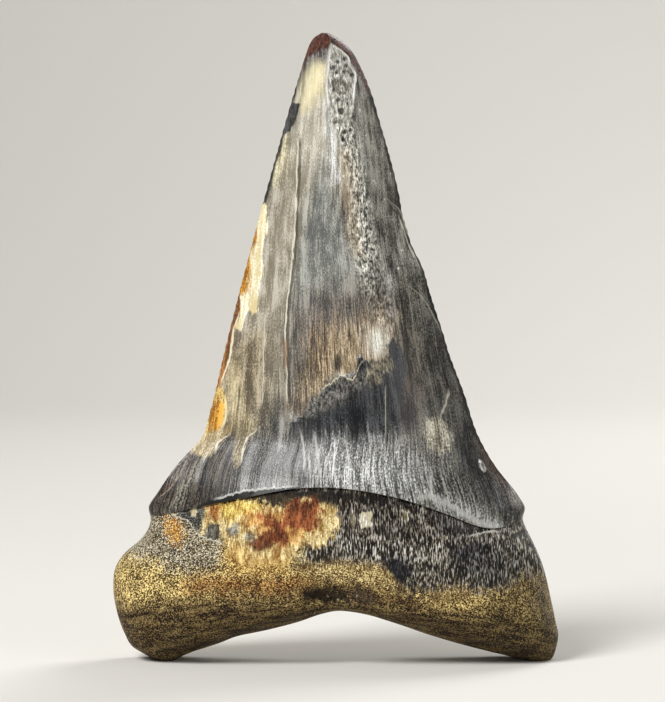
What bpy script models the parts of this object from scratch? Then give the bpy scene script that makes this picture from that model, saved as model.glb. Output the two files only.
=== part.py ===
# Fossil great white shark tooth, one solid piece that stands on the two lobes of its root.
# X runs across the blade, Y from the convex tongue side (-Y) to the flat lip side, Z up to the tip.
# The surface is a grid laid over each side. Its columns run from the left edge (-1) to the right edge (1).

import math

import bmesh
import bpy
import numpy as np
from mathutils import Vector, noise

# Driving dimensions, in millimetres
MM = 0.001
HEIGHT = 60.0
RIDGE_HEIGHT = 6.2           # where the root turns under, above the feet
LIP_ROUNDING = 2.5           # the same turn on the lip side, above the root's lower edge
FOOT_WEAR = 0.8              # taken off both lobes by the flats that it stands on
ENAMEL_STEP = 0.3            # enamel thickness, seen where it ends above the root
LIP_ENAMEL_STEP = 0.1        # the same on the lip side, where it ends thinner
STEP_RISE = 0.15             # height that the step is spread over
CREST_RISE = 0.2             # blunt crest down the middle of the blade
CREST_SPREAD = 2.4
DENT_DEPTH = 0.25            # shallow lumps and dents of the root
DENT_SIZE = 5.0
DENT_END = (12.0, 15.0)      # heights over which they die out
HOLLOW_PLACE = (-1.2, 6.2)   # feeding hollow under the middle of the root
HOLLOW_DEPTH = 1.2
HOLLOW_SIZE = (2.0, 1.1)     # half its width and half its height

# How full the cross-sections are
BLADE_POWER = 1.15           # of the blade's cosine: higher is thinner towards the edges
ROOT_POWER = 1 / 2.6         # of the root's rounded box: lower is fuller
FOOT_BLUNTNESS = 7.0         # how square the root's ends are at its feet
ROOT_BLUNTNESS = 3.0         # and above BLUNT_HEIGHT
BLUNT_HEIGHT = 8.0
BLADE_START = (10.5, 18.0)   # heights over which the root turns into the blade
UNDER_POWER = 0.6            # of the underside's round: lower is flatter
EDGE_FADE = 8                # steps die out close to the edges: higher is closer

# The outline: edges as (height, x), the lower edge of the root as (column, height)
LEFT_EDGE = [(-0.8, -16.6), (0.2, -17.9), (1.2, -19.5), (2.5, -20.3), (4.4, -21.0), (6.7, -21.4),
             (8.8, -21.1), (10.0, -20.3), (11.3, -18.8), (12.2, -18.1), (13.3, -17.8), (14.4, -18.0),
             (15.7, -17.2), (18.8, -15.0), (21.1, -12.9), (23.6, -12.1), (29.8, -10.6), (38.4, -8.4),
             (47.9, -5.8), (55.0, -3.75), (56.6, -3.25), (58.1, -2.75), (59.0, -2.4), (59.6, -1.95),
             (60.0, -1.3)]
RIGHT_EDGE = [(-0.8, 20.0), (0.2, 21.0), (1.1, 21.3), (2.2, 21.5), (3.2, 21.3), (5.1, 20.9),
              (9.4, 19.8), (11.2, 19.0), (12.4, 18.4), (13.2, 18.1), (14.4, 18.3), (15.3, 17.8),
              (18.3, 15.5), (21.1, 13.9), (25.5, 12.4), (28.0, 11.45), (29.2, 11.0), (30.9, 10.5),
              (32.3, 10.05), (33.8, 9.55), (35.4, 9.05), (36.7, 8.7), (37.7, 8.35), (38.6, 7.9),
              (39.6, 7.4), (41.1, 6.95), (42.5, 6.5), (44.0, 6.25), (46.5, 5.7), (51.5, 4.3),
              (54.5, 3.4), (57.0, 2.3), (58.5, 1.4), (59.6, 0.1), (60.0, -0.7)]
LOWER_EDGE = [(-1.0, -0.8), (-0.92, -0.4), (-0.84, 0.2), (-0.71, 0.9), (-0.59, 1.5), (-0.48, 2.3),
              (-0.34, 2.9), (-0.17, 3.8), (-0.07, 4.5), (0.03, 4.9), (0.11, 4.7), (0.28, 3.5),
              (0.41, 2.4), (0.55, 1.5), (0.72, 0.6), (0.8, 0.2), (0.89, -0.2), (1.0, -0.8)]

# Where the enamel ends, as (column, height), on the tongue side and on the lip side
TONGUE_COLLAR = [(-1.0, 13.6), (-0.75, 14.6), (-0.5, 15.7), (-0.2, 16.7), (0.1, 16.6), (0.4, 15.4),
                 (0.6, 14.0), (0.8, 12.8), (1.0, 13.2)]
LIP_COLLAR = [(-1.0, 13.6), (-0.7, 12.2), (-0.3, 12.9), (0.0, 13.4), (0.3, 12.9), (0.7, 12.0), (1.0, 13.2)]

# Depths in front of and behind the plane of the edges, by height
TONGUE_DEPTH = [(0.0, 7.6), (6.5, 8.3), (9.0, 8.4), (11.5, 7.8), (13.5, 7.2), (15.5, 6.9), (17.5, 6.5),
                (20.0, 5.9), (25.0, 5.1), (30.0, 4.6), (40.0, 3.7), (50.0, 2.6), (55.0, 1.9), (60.0, 0.5)]
LIP_DEPTH = [(0.0, 2.0), (5.0, 2.5), (10.0, 2.9), (20.0, 2.4), (30.0, 2.0), (40.0, 1.6), (50.0, 1.2),
             (60.0, 0.5)]
EDGE_PLANE = [(0.0, -1.0), (6.0, -0.6), (13.0, 0.0), (30.0, 0.5), (45.0, 0.3), (60.0, -0.5)]
CREST_COLUMN = [(0.0, 0.0), (15.0, 0.05), (25.0, 0.2), (34.0, 0.38), (44.0, 0.36), (55.0, 0.2), (60.0, 0.0)]
CREST_STRENGTH = [(0.0, 0.0), (20.0, 0.0), (28.0, 1.0), (48.0, 1.0), (56.0, 0.0), (60.0, 0.0)]

# The grid
COLUMNS = 44
UNDER_ROWS = 7
ROOT_ROWS = 9
CROWN_ROWS = 27
ROW_EASE = 1.5               # crown rows stand this much closer towards the tip
CREASE_ANGLE = 50            # degrees, from which an edge is shaded as a corner


def smooth(points, at):
    # A smooth curve through the points, read at one place.
    places, values = np.array(points).T
    slopes = np.gradient(values, places)
    at = min(max(at, places[0]), places[-1])
    i = min(int(np.searchsorted(places, at, side="right")) - 1, len(places) - 2)
    span = places[i + 1] - places[i]
    a = (at - places[i]) / span
    start = (1 + 2 * a) * (1 - a) ** 2 * values[i] + a * (1 - a) ** 2 * span * slopes[i]
    end = a * a * (3 - 2 * a) * values[i + 1] - a * a * (1 - a) * span * slopes[i + 1]
    return start + end


def ramp(low, high, value):
    a = min(max((value - low) / (high - low), 0.0), 1.0)
    return a * a * (3 - 2 * a)


def blend(first, second, share):
    return first + (second - first) * share


def section(column, height):
    # How full the cross-section is: a blade with sharp edges above, a round-sided root below.
    top = smooth(CREST_COLUMN, height)
    shifted = column - top * (1 - column * column)
    blade = max(math.cos(shifted * math.pi / 2), 0.0) ** BLADE_POWER
    bluntness = blend(FOOT_BLUNTNESS, ROOT_BLUNTNESS, ramp(0.0, BLUNT_HEIGHT, height))
    root = (1 - abs(column) ** bluntness) ** ROOT_POWER
    return blend(root, blade, ramp(*BLADE_START, height))


def bump(distance, width):
    return math.exp(-(distance / width) ** 2)


def edge_x(column, height):
    left = smooth(LEFT_EDGE, height)
    right = smooth(RIGHT_EDGE, height)
    return blend(left, right, (column + 1) / 2)


def tongue_relief(x, height):
    # What stands out from or sinks into the smooth tongue side, apart from the enamel's step.
    crest_x = edge_x(smooth(CREST_COLUMN, height), height)
    crest = CREST_RISE * smooth(CREST_STRENGTH, height) * bump(x - crest_x, CREST_SPREAD)
    across, up = HOLLOW_PLACE
    wide, high = HOLLOW_SIZE
    hollow = HOLLOW_DEPTH * bump(math.hypot((x - across) / wide, (height - up) / high), 1.0)
    return crest - hollow


def dents(place, height):
    worn = 1 - ramp(*DENT_END, height)
    return DENT_DEPTH * worn * noise.noise(place / DENT_SIZE)


def rows():
    # Each row of the grid: which band it lies in, and how far up that band.
    under = [("under", i / UNDER_ROWS) for i in range(UNDER_ROWS)]
    root = [("root", i / ROOT_ROWS) for i in range(ROOT_ROWS + 1)]
    crown = [("crown", 1 - (1 - i / CROWN_ROWS) ** ROW_EASE) for i in range(CROWN_ROWS + 1)]
    return under + root + crown


def surface_point(column, band, share, tongue):
    inside = 1 - abs(column) ** EDGE_FADE
    lower = smooth(LOWER_EDGE, column)
    rounding = blend(RIDGE_HEIGHT, lower + LIP_ROUNDING, inside)
    ridge = RIDGE_HEIGHT if tongue else rounding
    collar = smooth(TONGUE_COLLAR if tongue else LIP_COLLAR, column)
    fullness = 1.0
    if band == "under":
        turn = share * math.pi / 2
        height = blend(lower, ridge, 1 - math.cos(turn))
        fullness = math.sin(turn) ** UNDER_POWER
    elif band == "root":
        height = blend(ridge, collar, share)
    else:
        height = blend(collar, HEIGHT, share)
        if share == 0:
            height += STEP_RISE * inside
    x = edge_x(column, height)
    depth = smooth(TONGUE_DEPTH if tongue else LIP_DEPTH, height) * section(column, height) * fullness
    facing = -1 if tongue else 1
    y = smooth(EDGE_PLANE, height) + facing * depth
    rise = dents(Vector((x, y, height)), height) * (1 - column * column) * fullness
    if band == "crown":
        rise += (ENAMEL_STEP if tongue else LIP_ENAMEL_STEP) * inside
    if tongue:
        rise += tongue_relief(x, height)
    return Vector((x, y + facing * rise, height))


def build_side(mesh, tongue, shared):
    # One side's grid. The edges, the lowest row and the tip's row are shared with the other side.
    grid = []
    all_rows = rows()
    for r, (band, share) in enumerate(all_rows):
        line = []
        for c in range(COLUMNS + 1):
            column = math.sin((2 * c / COLUMNS - 1) * math.pi / 2)
            on_border = c in (0, COLUMNS) or r in (0, len(all_rows) - 1)
            if on_border and (r, c) in shared:
                line.append(shared[r, c])
                continue
            point = surface_point(column, band, share, tongue)
            if on_border:
                edge_height = max(point.z, -FOOT_WEAR)
                point.y = smooth(EDGE_PLANE, edge_height)
            vertex = mesh.verts.new(point)
            if on_border:
                shared[r, c] = vertex
            line.append(vertex)
        grid.append(line)
    for below, above in zip(grid, grid[1:]):
        for c in range(COLUMNS):
            corners = [below[c], below[c + 1], above[c + 1], above[c]]
            if not tongue:
                corners.reverse()
            mesh.faces.new(corners)


def wear_feet(mesh):
    # Both lobes are worn level, so that the tooth stands on two small flats.
    everything = mesh.verts[:] + mesh.edges[:] + mesh.faces[:]
    bmesh.ops.bisect_plane(mesh, geom=everything, plane_co=(0, 0, 0), plane_no=(0, 0, -1), clear_outer=True)
    open_edges = [edge for edge in mesh.edges if edge.is_boundary]
    bmesh.ops.holes_fill(mesh, edges=open_edges)


def centre(mesh):
    # The origin is the middle of the feet's level, under the middle of the tooth's box.
    places = np.array([vertex.co for vertex in mesh.verts])
    middle = (places.min(axis=0) + places.max(axis=0)) / 2
    bmesh.ops.translate(mesh, verts=mesh.verts, vec=(-middle[0], -middle[1], 0))
    bmesh.ops.scale(mesh, verts=mesh.verts, vec=(MM, MM, MM))


def fossil_material():
    material = bpy.data.materials.new("dark fossil enamel and bone")
    material.use_nodes = True
    shader = material.node_tree.nodes["Principled BSDF"]
    shader.inputs["Base Color"].default_value = (0.11, 0.10, 0.085, 1)
    shader.inputs["Roughness"].default_value = 0.4
    shader.inputs["Metallic"].default_value = 0
    return material


def fossil_tooth():
    mesh = bmesh.new()
    shared = {}
    build_side(mesh, True, shared)
    build_side(mesh, False, shared)
    wear_feet(mesh)
    centre(mesh)
    bmesh.ops.triangulate(mesh, faces=mesh.faces)
    data = bpy.data.meshes.new("fossil_tooth")
    mesh.to_mesh(data)
    mesh.free()
    data.shade_smooth()
    data.set_sharp_from_angle(angle=math.radians(CREASE_ANGLE))
    tooth = bpy.data.objects.new("fossil_tooth", data)
    data.materials.append(fossil_material())
    bpy.context.collection.objects.link(tooth)


for item in list(bpy.data.objects):
    bpy.data.objects.remove(item)
fossil_tooth()
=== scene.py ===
# Fossil great white shark tooth. The surface is rebuilt finely around the frame's solid.
# Lengths in the dictionaries and outlines are millimetres: x across the blade, height above the feet.
import math

import bpy
import numpy as np
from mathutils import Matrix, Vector, noise


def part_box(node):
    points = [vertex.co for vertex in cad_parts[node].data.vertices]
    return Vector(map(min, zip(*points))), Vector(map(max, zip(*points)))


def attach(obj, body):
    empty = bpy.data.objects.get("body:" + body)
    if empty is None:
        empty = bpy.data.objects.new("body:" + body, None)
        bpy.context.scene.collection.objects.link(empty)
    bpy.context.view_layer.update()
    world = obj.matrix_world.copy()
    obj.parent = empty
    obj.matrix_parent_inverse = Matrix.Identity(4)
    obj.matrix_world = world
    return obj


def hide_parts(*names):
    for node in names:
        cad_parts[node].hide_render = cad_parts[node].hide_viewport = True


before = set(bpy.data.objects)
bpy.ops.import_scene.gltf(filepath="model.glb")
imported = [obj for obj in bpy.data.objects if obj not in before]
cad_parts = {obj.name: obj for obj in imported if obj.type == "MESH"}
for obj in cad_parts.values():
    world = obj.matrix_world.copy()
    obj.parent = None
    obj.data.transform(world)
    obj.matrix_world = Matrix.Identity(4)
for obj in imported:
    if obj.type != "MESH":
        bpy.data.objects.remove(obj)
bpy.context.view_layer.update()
print("frame loaded")

mm = 0.001

# A pair in brackets is where something starts and where it is whole, unless its note says otherwise.
tooth = {
    "height": 60.0,
    "ridgeHeight": 6.2,          # where the root turns under
    "lipRounding": 2.5,          # the same turn on the lip side, above the root's lower edge
    "underPower": 0.6,           # of the underside's round: lower is flatter
    "rootPower": 1 / 2.6,        # of the root's rounded box: lower is fuller
    "footBluntness": 7.0,        # how square the root's ends are at its feet
    "rootBluntness": 3.0,        # and from the blunt height up
    "bluntHeight": 8.0,
    "bladeStart": (10.5, 18.0),  # heights over which the root turns into the blade
    "bladePower": 1.15,          # of the blade's cosine: higher is thinner towards the edges
    "crestRise": 0.2,            # blunt crest down the middle of the blade
    "crestSpread": 2.4,          # half its width
    "enamelStep": 0.3,           # enamel thickness where it ends above the root
    "lipEnamelStep": 0.1,        # the same on the lip side, where it ends thinner
    "stepRise": 0.1,             # height that the step is spread over
    "stepFade": 8,               # the step dies out at the edges: higher is closer to them
    "dentDepth": 0.25,           # shallow lumps and dents of the root
    "dentSize": 5.0,
    "dentEnd": (12.0, 15.0),     # heights over which they die out
    "hollowPlace": (-1.2, 6.2),  # x and height of the feeding hollow under the middle of the root
    "hollowSize": (2.0, 1.1),    # half its width and half its height
    "hollowDepth": 1.2,

    # The mesh
    "columns": 164,
    "columnEase": 0.4,           # how much closer the columns stand towards the edges
    "underRows": 44,
    "rootRows": 44,
    "crownRows": 208,
    "rowEase": 1.15,             # above 1, the crown's rows stand closer towards the tip
    "creaseAngle": 60,           # degrees, from which an edge is shaded as a corner
    "mapFill": 0.98,             # share of the flat map that is used
    "mapMargin": 0.005,

    # Fine relief: recesses as (marking, depth, softness of the border), then its other kinds
    "recesses": [("woodGrain", 0.18, 0.12), ("roughStrip", 0.12, 0.3), ("tipScar", 0.2, 0.12)],
    "pitDepth": 0.12,            # rough ground of the tip's scar and of the strip below it
    "pitWidth": 0.6,
    "scarBorder": (-0.1, 0.3),
    "stripBorder": (-0.1, 0.5),
    "stripShare": 0.7,           # of the pits' depth
    "roundPits": ("scarPit", "scarPits", "foramenPits"),
    "roundPitDepth": 0.16,
    "roundPitBorder": (-0.1, 0.15),
    "collarBorder": (-0.1, 0.1),  # from the bone's relief to the crown's, above the enamel's border
    "fluteDepth": 0.12,          # upright flutes at the crown's foot
    "fluteWidth": 0.9,
    "fluteStretch": 0.06,        # their width over their length
    "fluteStart": (-0.3, 1.5),   # above the enamel's border
    "fluteEnd": (7.0, 12.0),
    "lipFluteWidth": 2.0,
    "lipFluteShare": 0.3,        # of the flutes' depth
    "lumpDepth": 0.16,           # coarse bone
    "lumpWidth": 1.5,
    "lumpStart": (0.0, 1.0),     # height above the feet
    "streakDepth": 0.1,          # level streaks under the root
    "streakWidth": 0.7,
    "streakStretch": 0.25,       # their width over their length
    "streakEnd": (4.0, 7.0),
    "reliefFade": 12,            # relief dies out at the edges: higher is closer to them
    "notchDepth": 0.06,          # worn serrations of the cutting edges
    "notchPitch": 0.9,
    "notchDrift": (1.5, 0.9),    # how unevenly they are spaced: how far, and how fast it changes
    "notchReach": (0.95, 1.0),   # columns
    "notchStart": (17.0, 20.0),
    "notchEnd": (55.0, 58.0),

    # How grain and markings lie on it
    "grainWidth": 21.0,          # half width at which the enamel's grain is drawn true
    "archReach": 11.0,           # height up to which level streaks follow the arch
    "lipShift": 40.0,            # moves the lip side's grain away from the tongue side's
    "edgeWrap": 0.9,             # how far markings reach around an edge onto the lip side
    "capWrap": 9.0,              # the same for the tip's cap, which covers both sides
}

# The outline: edges as (height, x), the lower edge of the root as (column, height)
leftEdge = [(-0.8, -16.6), (0.2, -17.9), (1.2, -19.5), (2.5, -20.3), (4.4, -21.0), (6.7, -21.4),
            (8.8, -21.1), (10.0, -20.3), (11.3, -18.8), (12.2, -18.1), (13.3, -17.8), (14.4, -18.0),
            (15.7, -17.2), (18.8, -15.0), (21.1, -12.9), (23.6, -12.1), (29.8, -10.6), (38.4, -8.4),
            (47.9, -5.8), (55.0, -3.75), (56.6, -3.25), (58.1, -2.75), (59.0, -2.4), (59.6, -1.95),
            (60.0, -1.3)]
rightEdge = [(-0.8, 20.0), (0.2, 21.0), (1.1, 21.3), (2.2, 21.5), (3.2, 21.3), (5.1, 20.9),
             (9.4, 19.8), (11.2, 19.0), (12.4, 18.4), (13.2, 18.1), (14.4, 18.3), (15.3, 17.8),
             (18.3, 15.5), (21.1, 13.9), (25.5, 12.4), (28.0, 11.45), (29.2, 11.0), (30.9, 10.5),
             (32.3, 10.05), (33.8, 9.55), (35.4, 9.05), (36.7, 8.7), (37.7, 8.35), (38.6, 7.9), (39.6, 7.4),
             (41.1, 6.95), (42.5, 6.5), (44.0, 6.25), (46.5, 5.7), (51.5, 4.3), (54.5, 3.4),
             (57.0, 2.3), (58.5, 1.4), (59.6, 0.1), (60.0, -0.7)]
lowerEdge = [(-1.0, -0.8), (-0.92, -0.4), (-0.84, 0.2), (-0.71, 0.9), (-0.59, 1.5), (-0.48, 2.3),
             (-0.34, 2.9), (-0.17, 3.8), (-0.07, 4.5), (0.03, 4.9), (0.11, 4.7), (0.28, 3.5),
             (0.41, 2.4), (0.55, 1.5), (0.72, 0.6), (0.8, 0.2), (0.89, -0.2), (1.0, -0.8)]

# Where the enamel ends, as (column, height)
tongueCollar = [(-1.0, 13.6), (-0.75, 14.6), (-0.5, 15.7), (-0.2, 16.7), (0.1, 16.6), (0.4, 15.4),
                (0.6, 14.0), (0.8, 12.8), (1.0, 13.2)]
lipCollar = [(-1.0, 13.6), (-0.7, 12.2), (-0.3, 12.9), (0.0, 13.4), (0.3, 12.9), (0.7, 12.0), (1.0, 13.2)]

# Depths in front of and behind the plane of the edges, by height
tongueDepth = [(0.0, 7.6), (6.5, 8.3), (9.0, 8.4), (11.5, 7.8), (13.5, 7.2), (15.5, 6.9), (17.5, 6.5),
               (20.0, 5.9), (25.0, 5.1), (30.0, 4.6), (40.0, 3.7), (50.0, 2.6), (55.0, 1.9), (60.0, 0.5)]
lipDepth = [(0.0, 2.0), (5.0, 2.5), (10.0, 2.9), (20.0, 2.4), (30.0, 2.0), (40.0, 1.6), (50.0, 1.2),
            (60.0, 0.5)]
edgePlane = [(0.0, -1.0), (6.0, -0.6), (13.0, 0.0), (30.0, 0.5), (45.0, 0.3), (60.0, -0.5)]
crestColumn = [(0.0, 0.0), (15.0, 0.05), (25.0, 0.2), (34.0, 0.38), (44.0, 0.36), (55.0, 0.2), (60.0, 0.0)]
crestStrength = [(0.0, 0.0), (20.0, 0.0), (28.0, 1.0), (48.0, 1.0), (56.0, 0.0), (60.0, 0.0)]


def smoothCurve(points, at):
    # A smooth curve through the points, read at many places at once.
    places, values = np.array(points).T
    slopes = np.gradient(values, places)
    at = np.clip(at, places[0], places[-1])
    i = np.clip(np.searchsorted(places, at, side="right") - 1, 0, len(places) - 2)
    span = places[i + 1] - places[i]
    a = (at - places[i]) / span
    start = (1 + 2 * a) * (1 - a) ** 2 * values[i] + a * (1 - a) ** 2 * span * slopes[i]
    end = a * a * (3 - 2 * a) * values[i + 1] - a * a * (1 - a) * span * slopes[i + 1]
    return start + end


def ramp(low, high, value):
    a = np.clip((value - low) / (high - low), 0.0, 1.0)
    return a * a * (3 - 2 * a)


def mix(first, second, share):
    return first + (second - first) * share


def bump(distance, width):
    return np.exp(-(distance / width) ** 2)


def edgeX(column, height):
    return mix(smoothCurve(leftEdge, height), smoothCurve(rightEdge, height), (column + 1) / 2)


def section(column, height):
    # How full the cross-section is: a blade with sharp edges above, a round-sided root below.
    shifted = column - smoothCurve(crestColumn, height) * (1 - column * column)
    blade = np.clip(np.cos(shifted * math.pi / 2), 0.0, 1.0) ** tooth["bladePower"]
    bluntness = mix(tooth["footBluntness"], tooth["rootBluntness"], ramp(0.0, tooth["bluntHeight"], height))
    root = np.clip(1 - np.abs(column) ** bluntness, 0.0, 1.0) ** tooth["rootPower"]
    return mix(root, blade, ramp(*tooth["bladeStart"], height))


def noiseField(places, size):
    # Smooth noise of about -1 to 1, one value for each place, with lumps of about the given size.
    return np.array([noise.noise(Vector((p[0] / size, p[1] / size, p[2] / size))) for p in places])


def gridRows():
    # Height of each row as a band and a share of that band.
    under = [("under", i / tooth["underRows"]) for i in range(tooth["underRows"])]
    root = [("root", i / tooth["rootRows"]) for i in range(tooth["rootRows"] + 1)]
    crownRows = tooth["crownRows"]
    crown = [("crown", 1 - (1 - i / crownRows) ** tooth["rowEase"]) for i in range(crownRows + 1)]
    return under + root + crown


def tongueRelief(x, heights):
    # What stands out from or sinks into the smooth tongue side, apart from the enamel's step.
    crestX = edgeX(smoothCurve(crestColumn, heights), heights)
    crest = smoothCurve(crestStrength, heights) * bump(x - crestX, tooth["crestSpread"])
    across, up = tooth["hollowPlace"]
    wide, high = tooth["hollowSize"]
    hollow = bump(np.hypot((x - across) / wide, (heights - up) / high), 1.0)
    return tooth["crestRise"] * crest - tooth["hollowDepth"] * hollow


def sideSurface(tongue):
    # Columns and places of one side's grid, row by row from the root's lower edge to the tip.
    spread = np.linspace(-1, 1, tooth["columns"] + 1)
    ease = tooth["columnEase"]
    columns = (1 - ease) * spread + ease * np.sin(spread * math.pi / 2)
    lower = smoothCurve(lowerEdge, columns)
    inside = 1 - np.abs(columns) ** tooth["stepFade"]
    rounding = mix(tooth["ridgeHeight"], lower + tooth["lipRounding"], inside)
    ridge = np.full_like(columns, tooth["ridgeHeight"]) if tongue else rounding
    collar = smoothCurve(tongueCollar if tongue else lipCollar, columns)
    facing = -1 if tongue else 1
    lines = []
    for band, share in gridRows():
        fullness = 1.0
        if band == "under":
            turn = share * math.pi / 2
            heights = mix(lower, ridge, 1 - math.cos(turn))
            fullness = math.sin(turn) ** tooth["underPower"]
        elif band == "root":
            heights = mix(ridge, collar, share)
        else:
            heights = mix(collar, tooth["height"], share)
            if share == 0:
                heights = heights + tooth["stepRise"] * inside
        x = edgeX(columns, heights)
        depth = smoothCurve(tongueDepth if tongue else lipDepth, heights) * fullness
        depth = depth * section(columns, heights)
        y = smoothCurve(edgePlane, heights) + facing * depth
        places = np.stack([x, y, heights], axis=1)
        worn = 1 - ramp(*tooth["dentEnd"], heights)
        dents = tooth["dentDepth"] * worn * noiseField(places, tooth["dentSize"])
        rise = dents * (1 - columns * columns) * fullness
        if band == "crown":
            rise = rise + (tooth["enamelStep"] if tongue else tooth["lipEnamelStep"]) * inside
        if tongue:
            rise = rise + tongueRelief(x, heights)
        places[:, 1] += facing * rise
        lines.append(places)
    return columns, np.array(lines)


def alignToFrame(places):
    # The move that puts the surface where the frame's solid is, from their boxes.
    low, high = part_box("fossil_tooth")
    shift = (np.array(low) + np.array(high)) / 2 / mm - (places.min(axis=0) + places.max(axis=0)) / 2
    shift[2] = 0
    return shift


def joinSides(tongueGrid, lipGrid, columns):
    # One list of places for both sides, which share the edges, the lowest row and the tip's row.
    border = np.zeros(tongueGrid.shape[:2], bool)
    border[0, :] = border[-1, :] = border[:, 0] = border[:, -1] = True
    tongueNumbers = np.arange(border.size).reshape(border.shape)
    lipNumbers = tongueNumbers.copy()
    lipNumbers[~border] = border.size + np.arange(np.count_nonzero(~border))
    places = np.concatenate([tongueGrid.reshape(-1, 3), lipGrid[~border]])
    allColumns = np.broadcast_to(columns, border.shape)
    placeColumns = np.concatenate([allColumns.ravel(), allColumns[~border]])
    isTongue = np.arange(len(places)) < border.size
    return places, placeColumns, isTongue, tongueNumbers, lipNumbers


def sideFaces(numbers, flip):
    corners = [numbers[:-1, :-1], numbers[:-1, 1:], numbers[1:, 1:], numbers[1:, :-1]]
    faces = np.stack(corners, axis=-1).reshape(-1, 4)
    return faces[:, ::-1] if flip else faces


def chipRelief(places, crown):
    # Chipped recesses, the rough ground in them and single round pits.
    seen = seenPlaces(places)
    rise = np.zeros(len(places))
    kept = signedDistance(seen, enamelMarkings["blueBlack"][-1])
    for name, depth, soft in tooth["recesses"]:
        inside = np.minimum(signedDistance(seen, allMarkings[name][-1]), -kept)
        rise -= depth * ramp(-soft, soft, inside) * crown
    scar = ramp(*tooth["scarBorder"], signedDistance(seen, edgeMarkings["tipScar"][-1]))
    strip = ramp(*tooth["stripBorder"], signedDistance(seen, enamelMarkings["roughStrip"][-1]))
    rough = np.maximum(scar, tooth["stripShare"] * strip)
    rise += tooth["pitDepth"] * rough * noiseField(places, tooth["pitWidth"])
    for name in tooth["roundPits"]:
        inside = markingDistance(seen, allMarkings[name][-1])
        rise -= tooth["roundPitDepth"] * ramp(*tooth["roundPitBorder"], inside)
    return rise


def fineRelief(places, columns, isTongue):
    # Chips, upright flutes at the crown's foot and rough bone.
    height = places[:, 2]
    collar = np.where(isTongue, smoothCurve(tongueCollar, columns), smoothCurve(lipCollar, columns))
    aboveCollar = height - collar
    crown = ramp(*tooth["collarBorder"], aboveCollar)
    fluted = ramp(*tooth["fluteStart"], aboveCollar) * (1 - ramp(*tooth["fluteEnd"], aboveCollar))
    fluted = tooth["fluteDepth"] * fluted
    zero = np.zeros(len(places))
    upright = np.stack([acrossBlade(columns, height), height * tooth["fluteStretch"], zero], axis=1)
    flutes = fluted * noiseField(upright, tooth["fluteWidth"])
    lipFlutes = tooth["lipFluteShare"] * fluted * noiseField(upright, tooth["lipFluteWidth"])
    rise = np.where(isTongue, chipRelief(places, crown) + flutes, lipFlutes)
    onBone = (1 - crown) * ramp(*tooth["lumpStart"], height)
    rise += tooth["lumpDepth"] * onBone * noiseField(places, tooth["lumpWidth"])
    along = places[:, 0] * tooth["streakStretch"]
    level = np.stack([along, places[:, 1], alongArch(columns, height)], axis=1)
    streaked = onBone * (1 - ramp(*tooth["streakEnd"], height))
    rise += tooth["streakDepth"] * streaked * noiseField(level, tooth["streakWidth"])
    return rise * np.clip(1 - np.abs(columns) ** tooth["reliefFade"], 0, 1)


def serrations(columns, height):
    # Worn serrations along both cutting edges, as a move in x towards the middle.
    drift, rate = tooth["notchDrift"]
    notch = 0.5 + 0.5 * np.cos(height * 2 * math.pi / tooth["notchPitch"] + drift * np.sin(height * rate))
    onEdge = ramp(*tooth["notchStart"], height) * (1 - ramp(*tooth["notchEnd"], height))
    onEdge = onEdge * ramp(*tooth["notchReach"], np.abs(columns))
    return -np.sign(columns) * tooth["notchDepth"] * notch * onEdge


def halfWidths(height):
    return (smoothCurve(rightEdge, height) - smoothCurve(leftEdge, height)) / 2


def acrossBlade(columns, height):
    # Millimetres across, drawn together only partly towards the tip, so that the grain fans out.
    return columns * np.sqrt(halfWidths(height) * tooth["grainWidth"])


def alongArch(columns, height):
    # Height, bent so that its level lines follow the arch under the root.
    return height - smoothCurve(lowerEdge, columns) * (1 - ramp(0.0, tooth["archReach"], height))


def buildTooth():
    columns, tongueGrid = sideSurface(True)
    _, lipGrid = sideSurface(False)
    places, placeColumns, isTongue, tongueNumbers, lipNumbers = joinSides(tongueGrid, lipGrid, columns)
    onBorder = np.isin(np.arange(len(places)), np.intersect1d(tongueNumbers, lipNumbers))
    places[onBorder, 1] = smoothCurve(edgePlane, places[onBorder, 2])
    places += alignToFrame(places)
    rise = fineRelief(places, placeColumns, isTongue)
    places[:, 1] += np.where(isTongue, -1, 1) * np.where(onBorder, 0.0, rise)
    places[:, 0] += serrations(placeColumns, places[:, 2])
    places[:, 2] = np.maximum(places[:, 2], 0.0)
    faces = np.concatenate([sideFaces(tongueNumbers, False), sideFaces(lipNumbers, True)])
    mesh = bpy.data.meshes.new("toothSurface")
    mesh.from_pydata((places * mm).tolist(), [], faces.tolist())
    rowCount, columnCount = tongueNumbers.shape
    rows = np.repeat(np.arange(rowCount - 1), columnCount - 1)
    isBone = rows <= tooth["underRows"] + tooth["rootRows"]
    mesh.polygons.foreach_set("material_index", np.tile(isBone, 2).astype(int))
    mesh.shade_smooth()
    mesh.set_sharp_from_angle(angle=math.radians(tooth["creaseAngle"]))
    piece = bpy.data.objects.new("toothSurface", mesh)
    bpy.context.scene.collection.objects.link(piece)
    addSurfaceValues(piece, placeColumns, places, isTongue)
    addFlatMap(mesh, tongueGrid, lipGrid, tongueNumbers, lipNumbers)
    return piece


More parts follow.
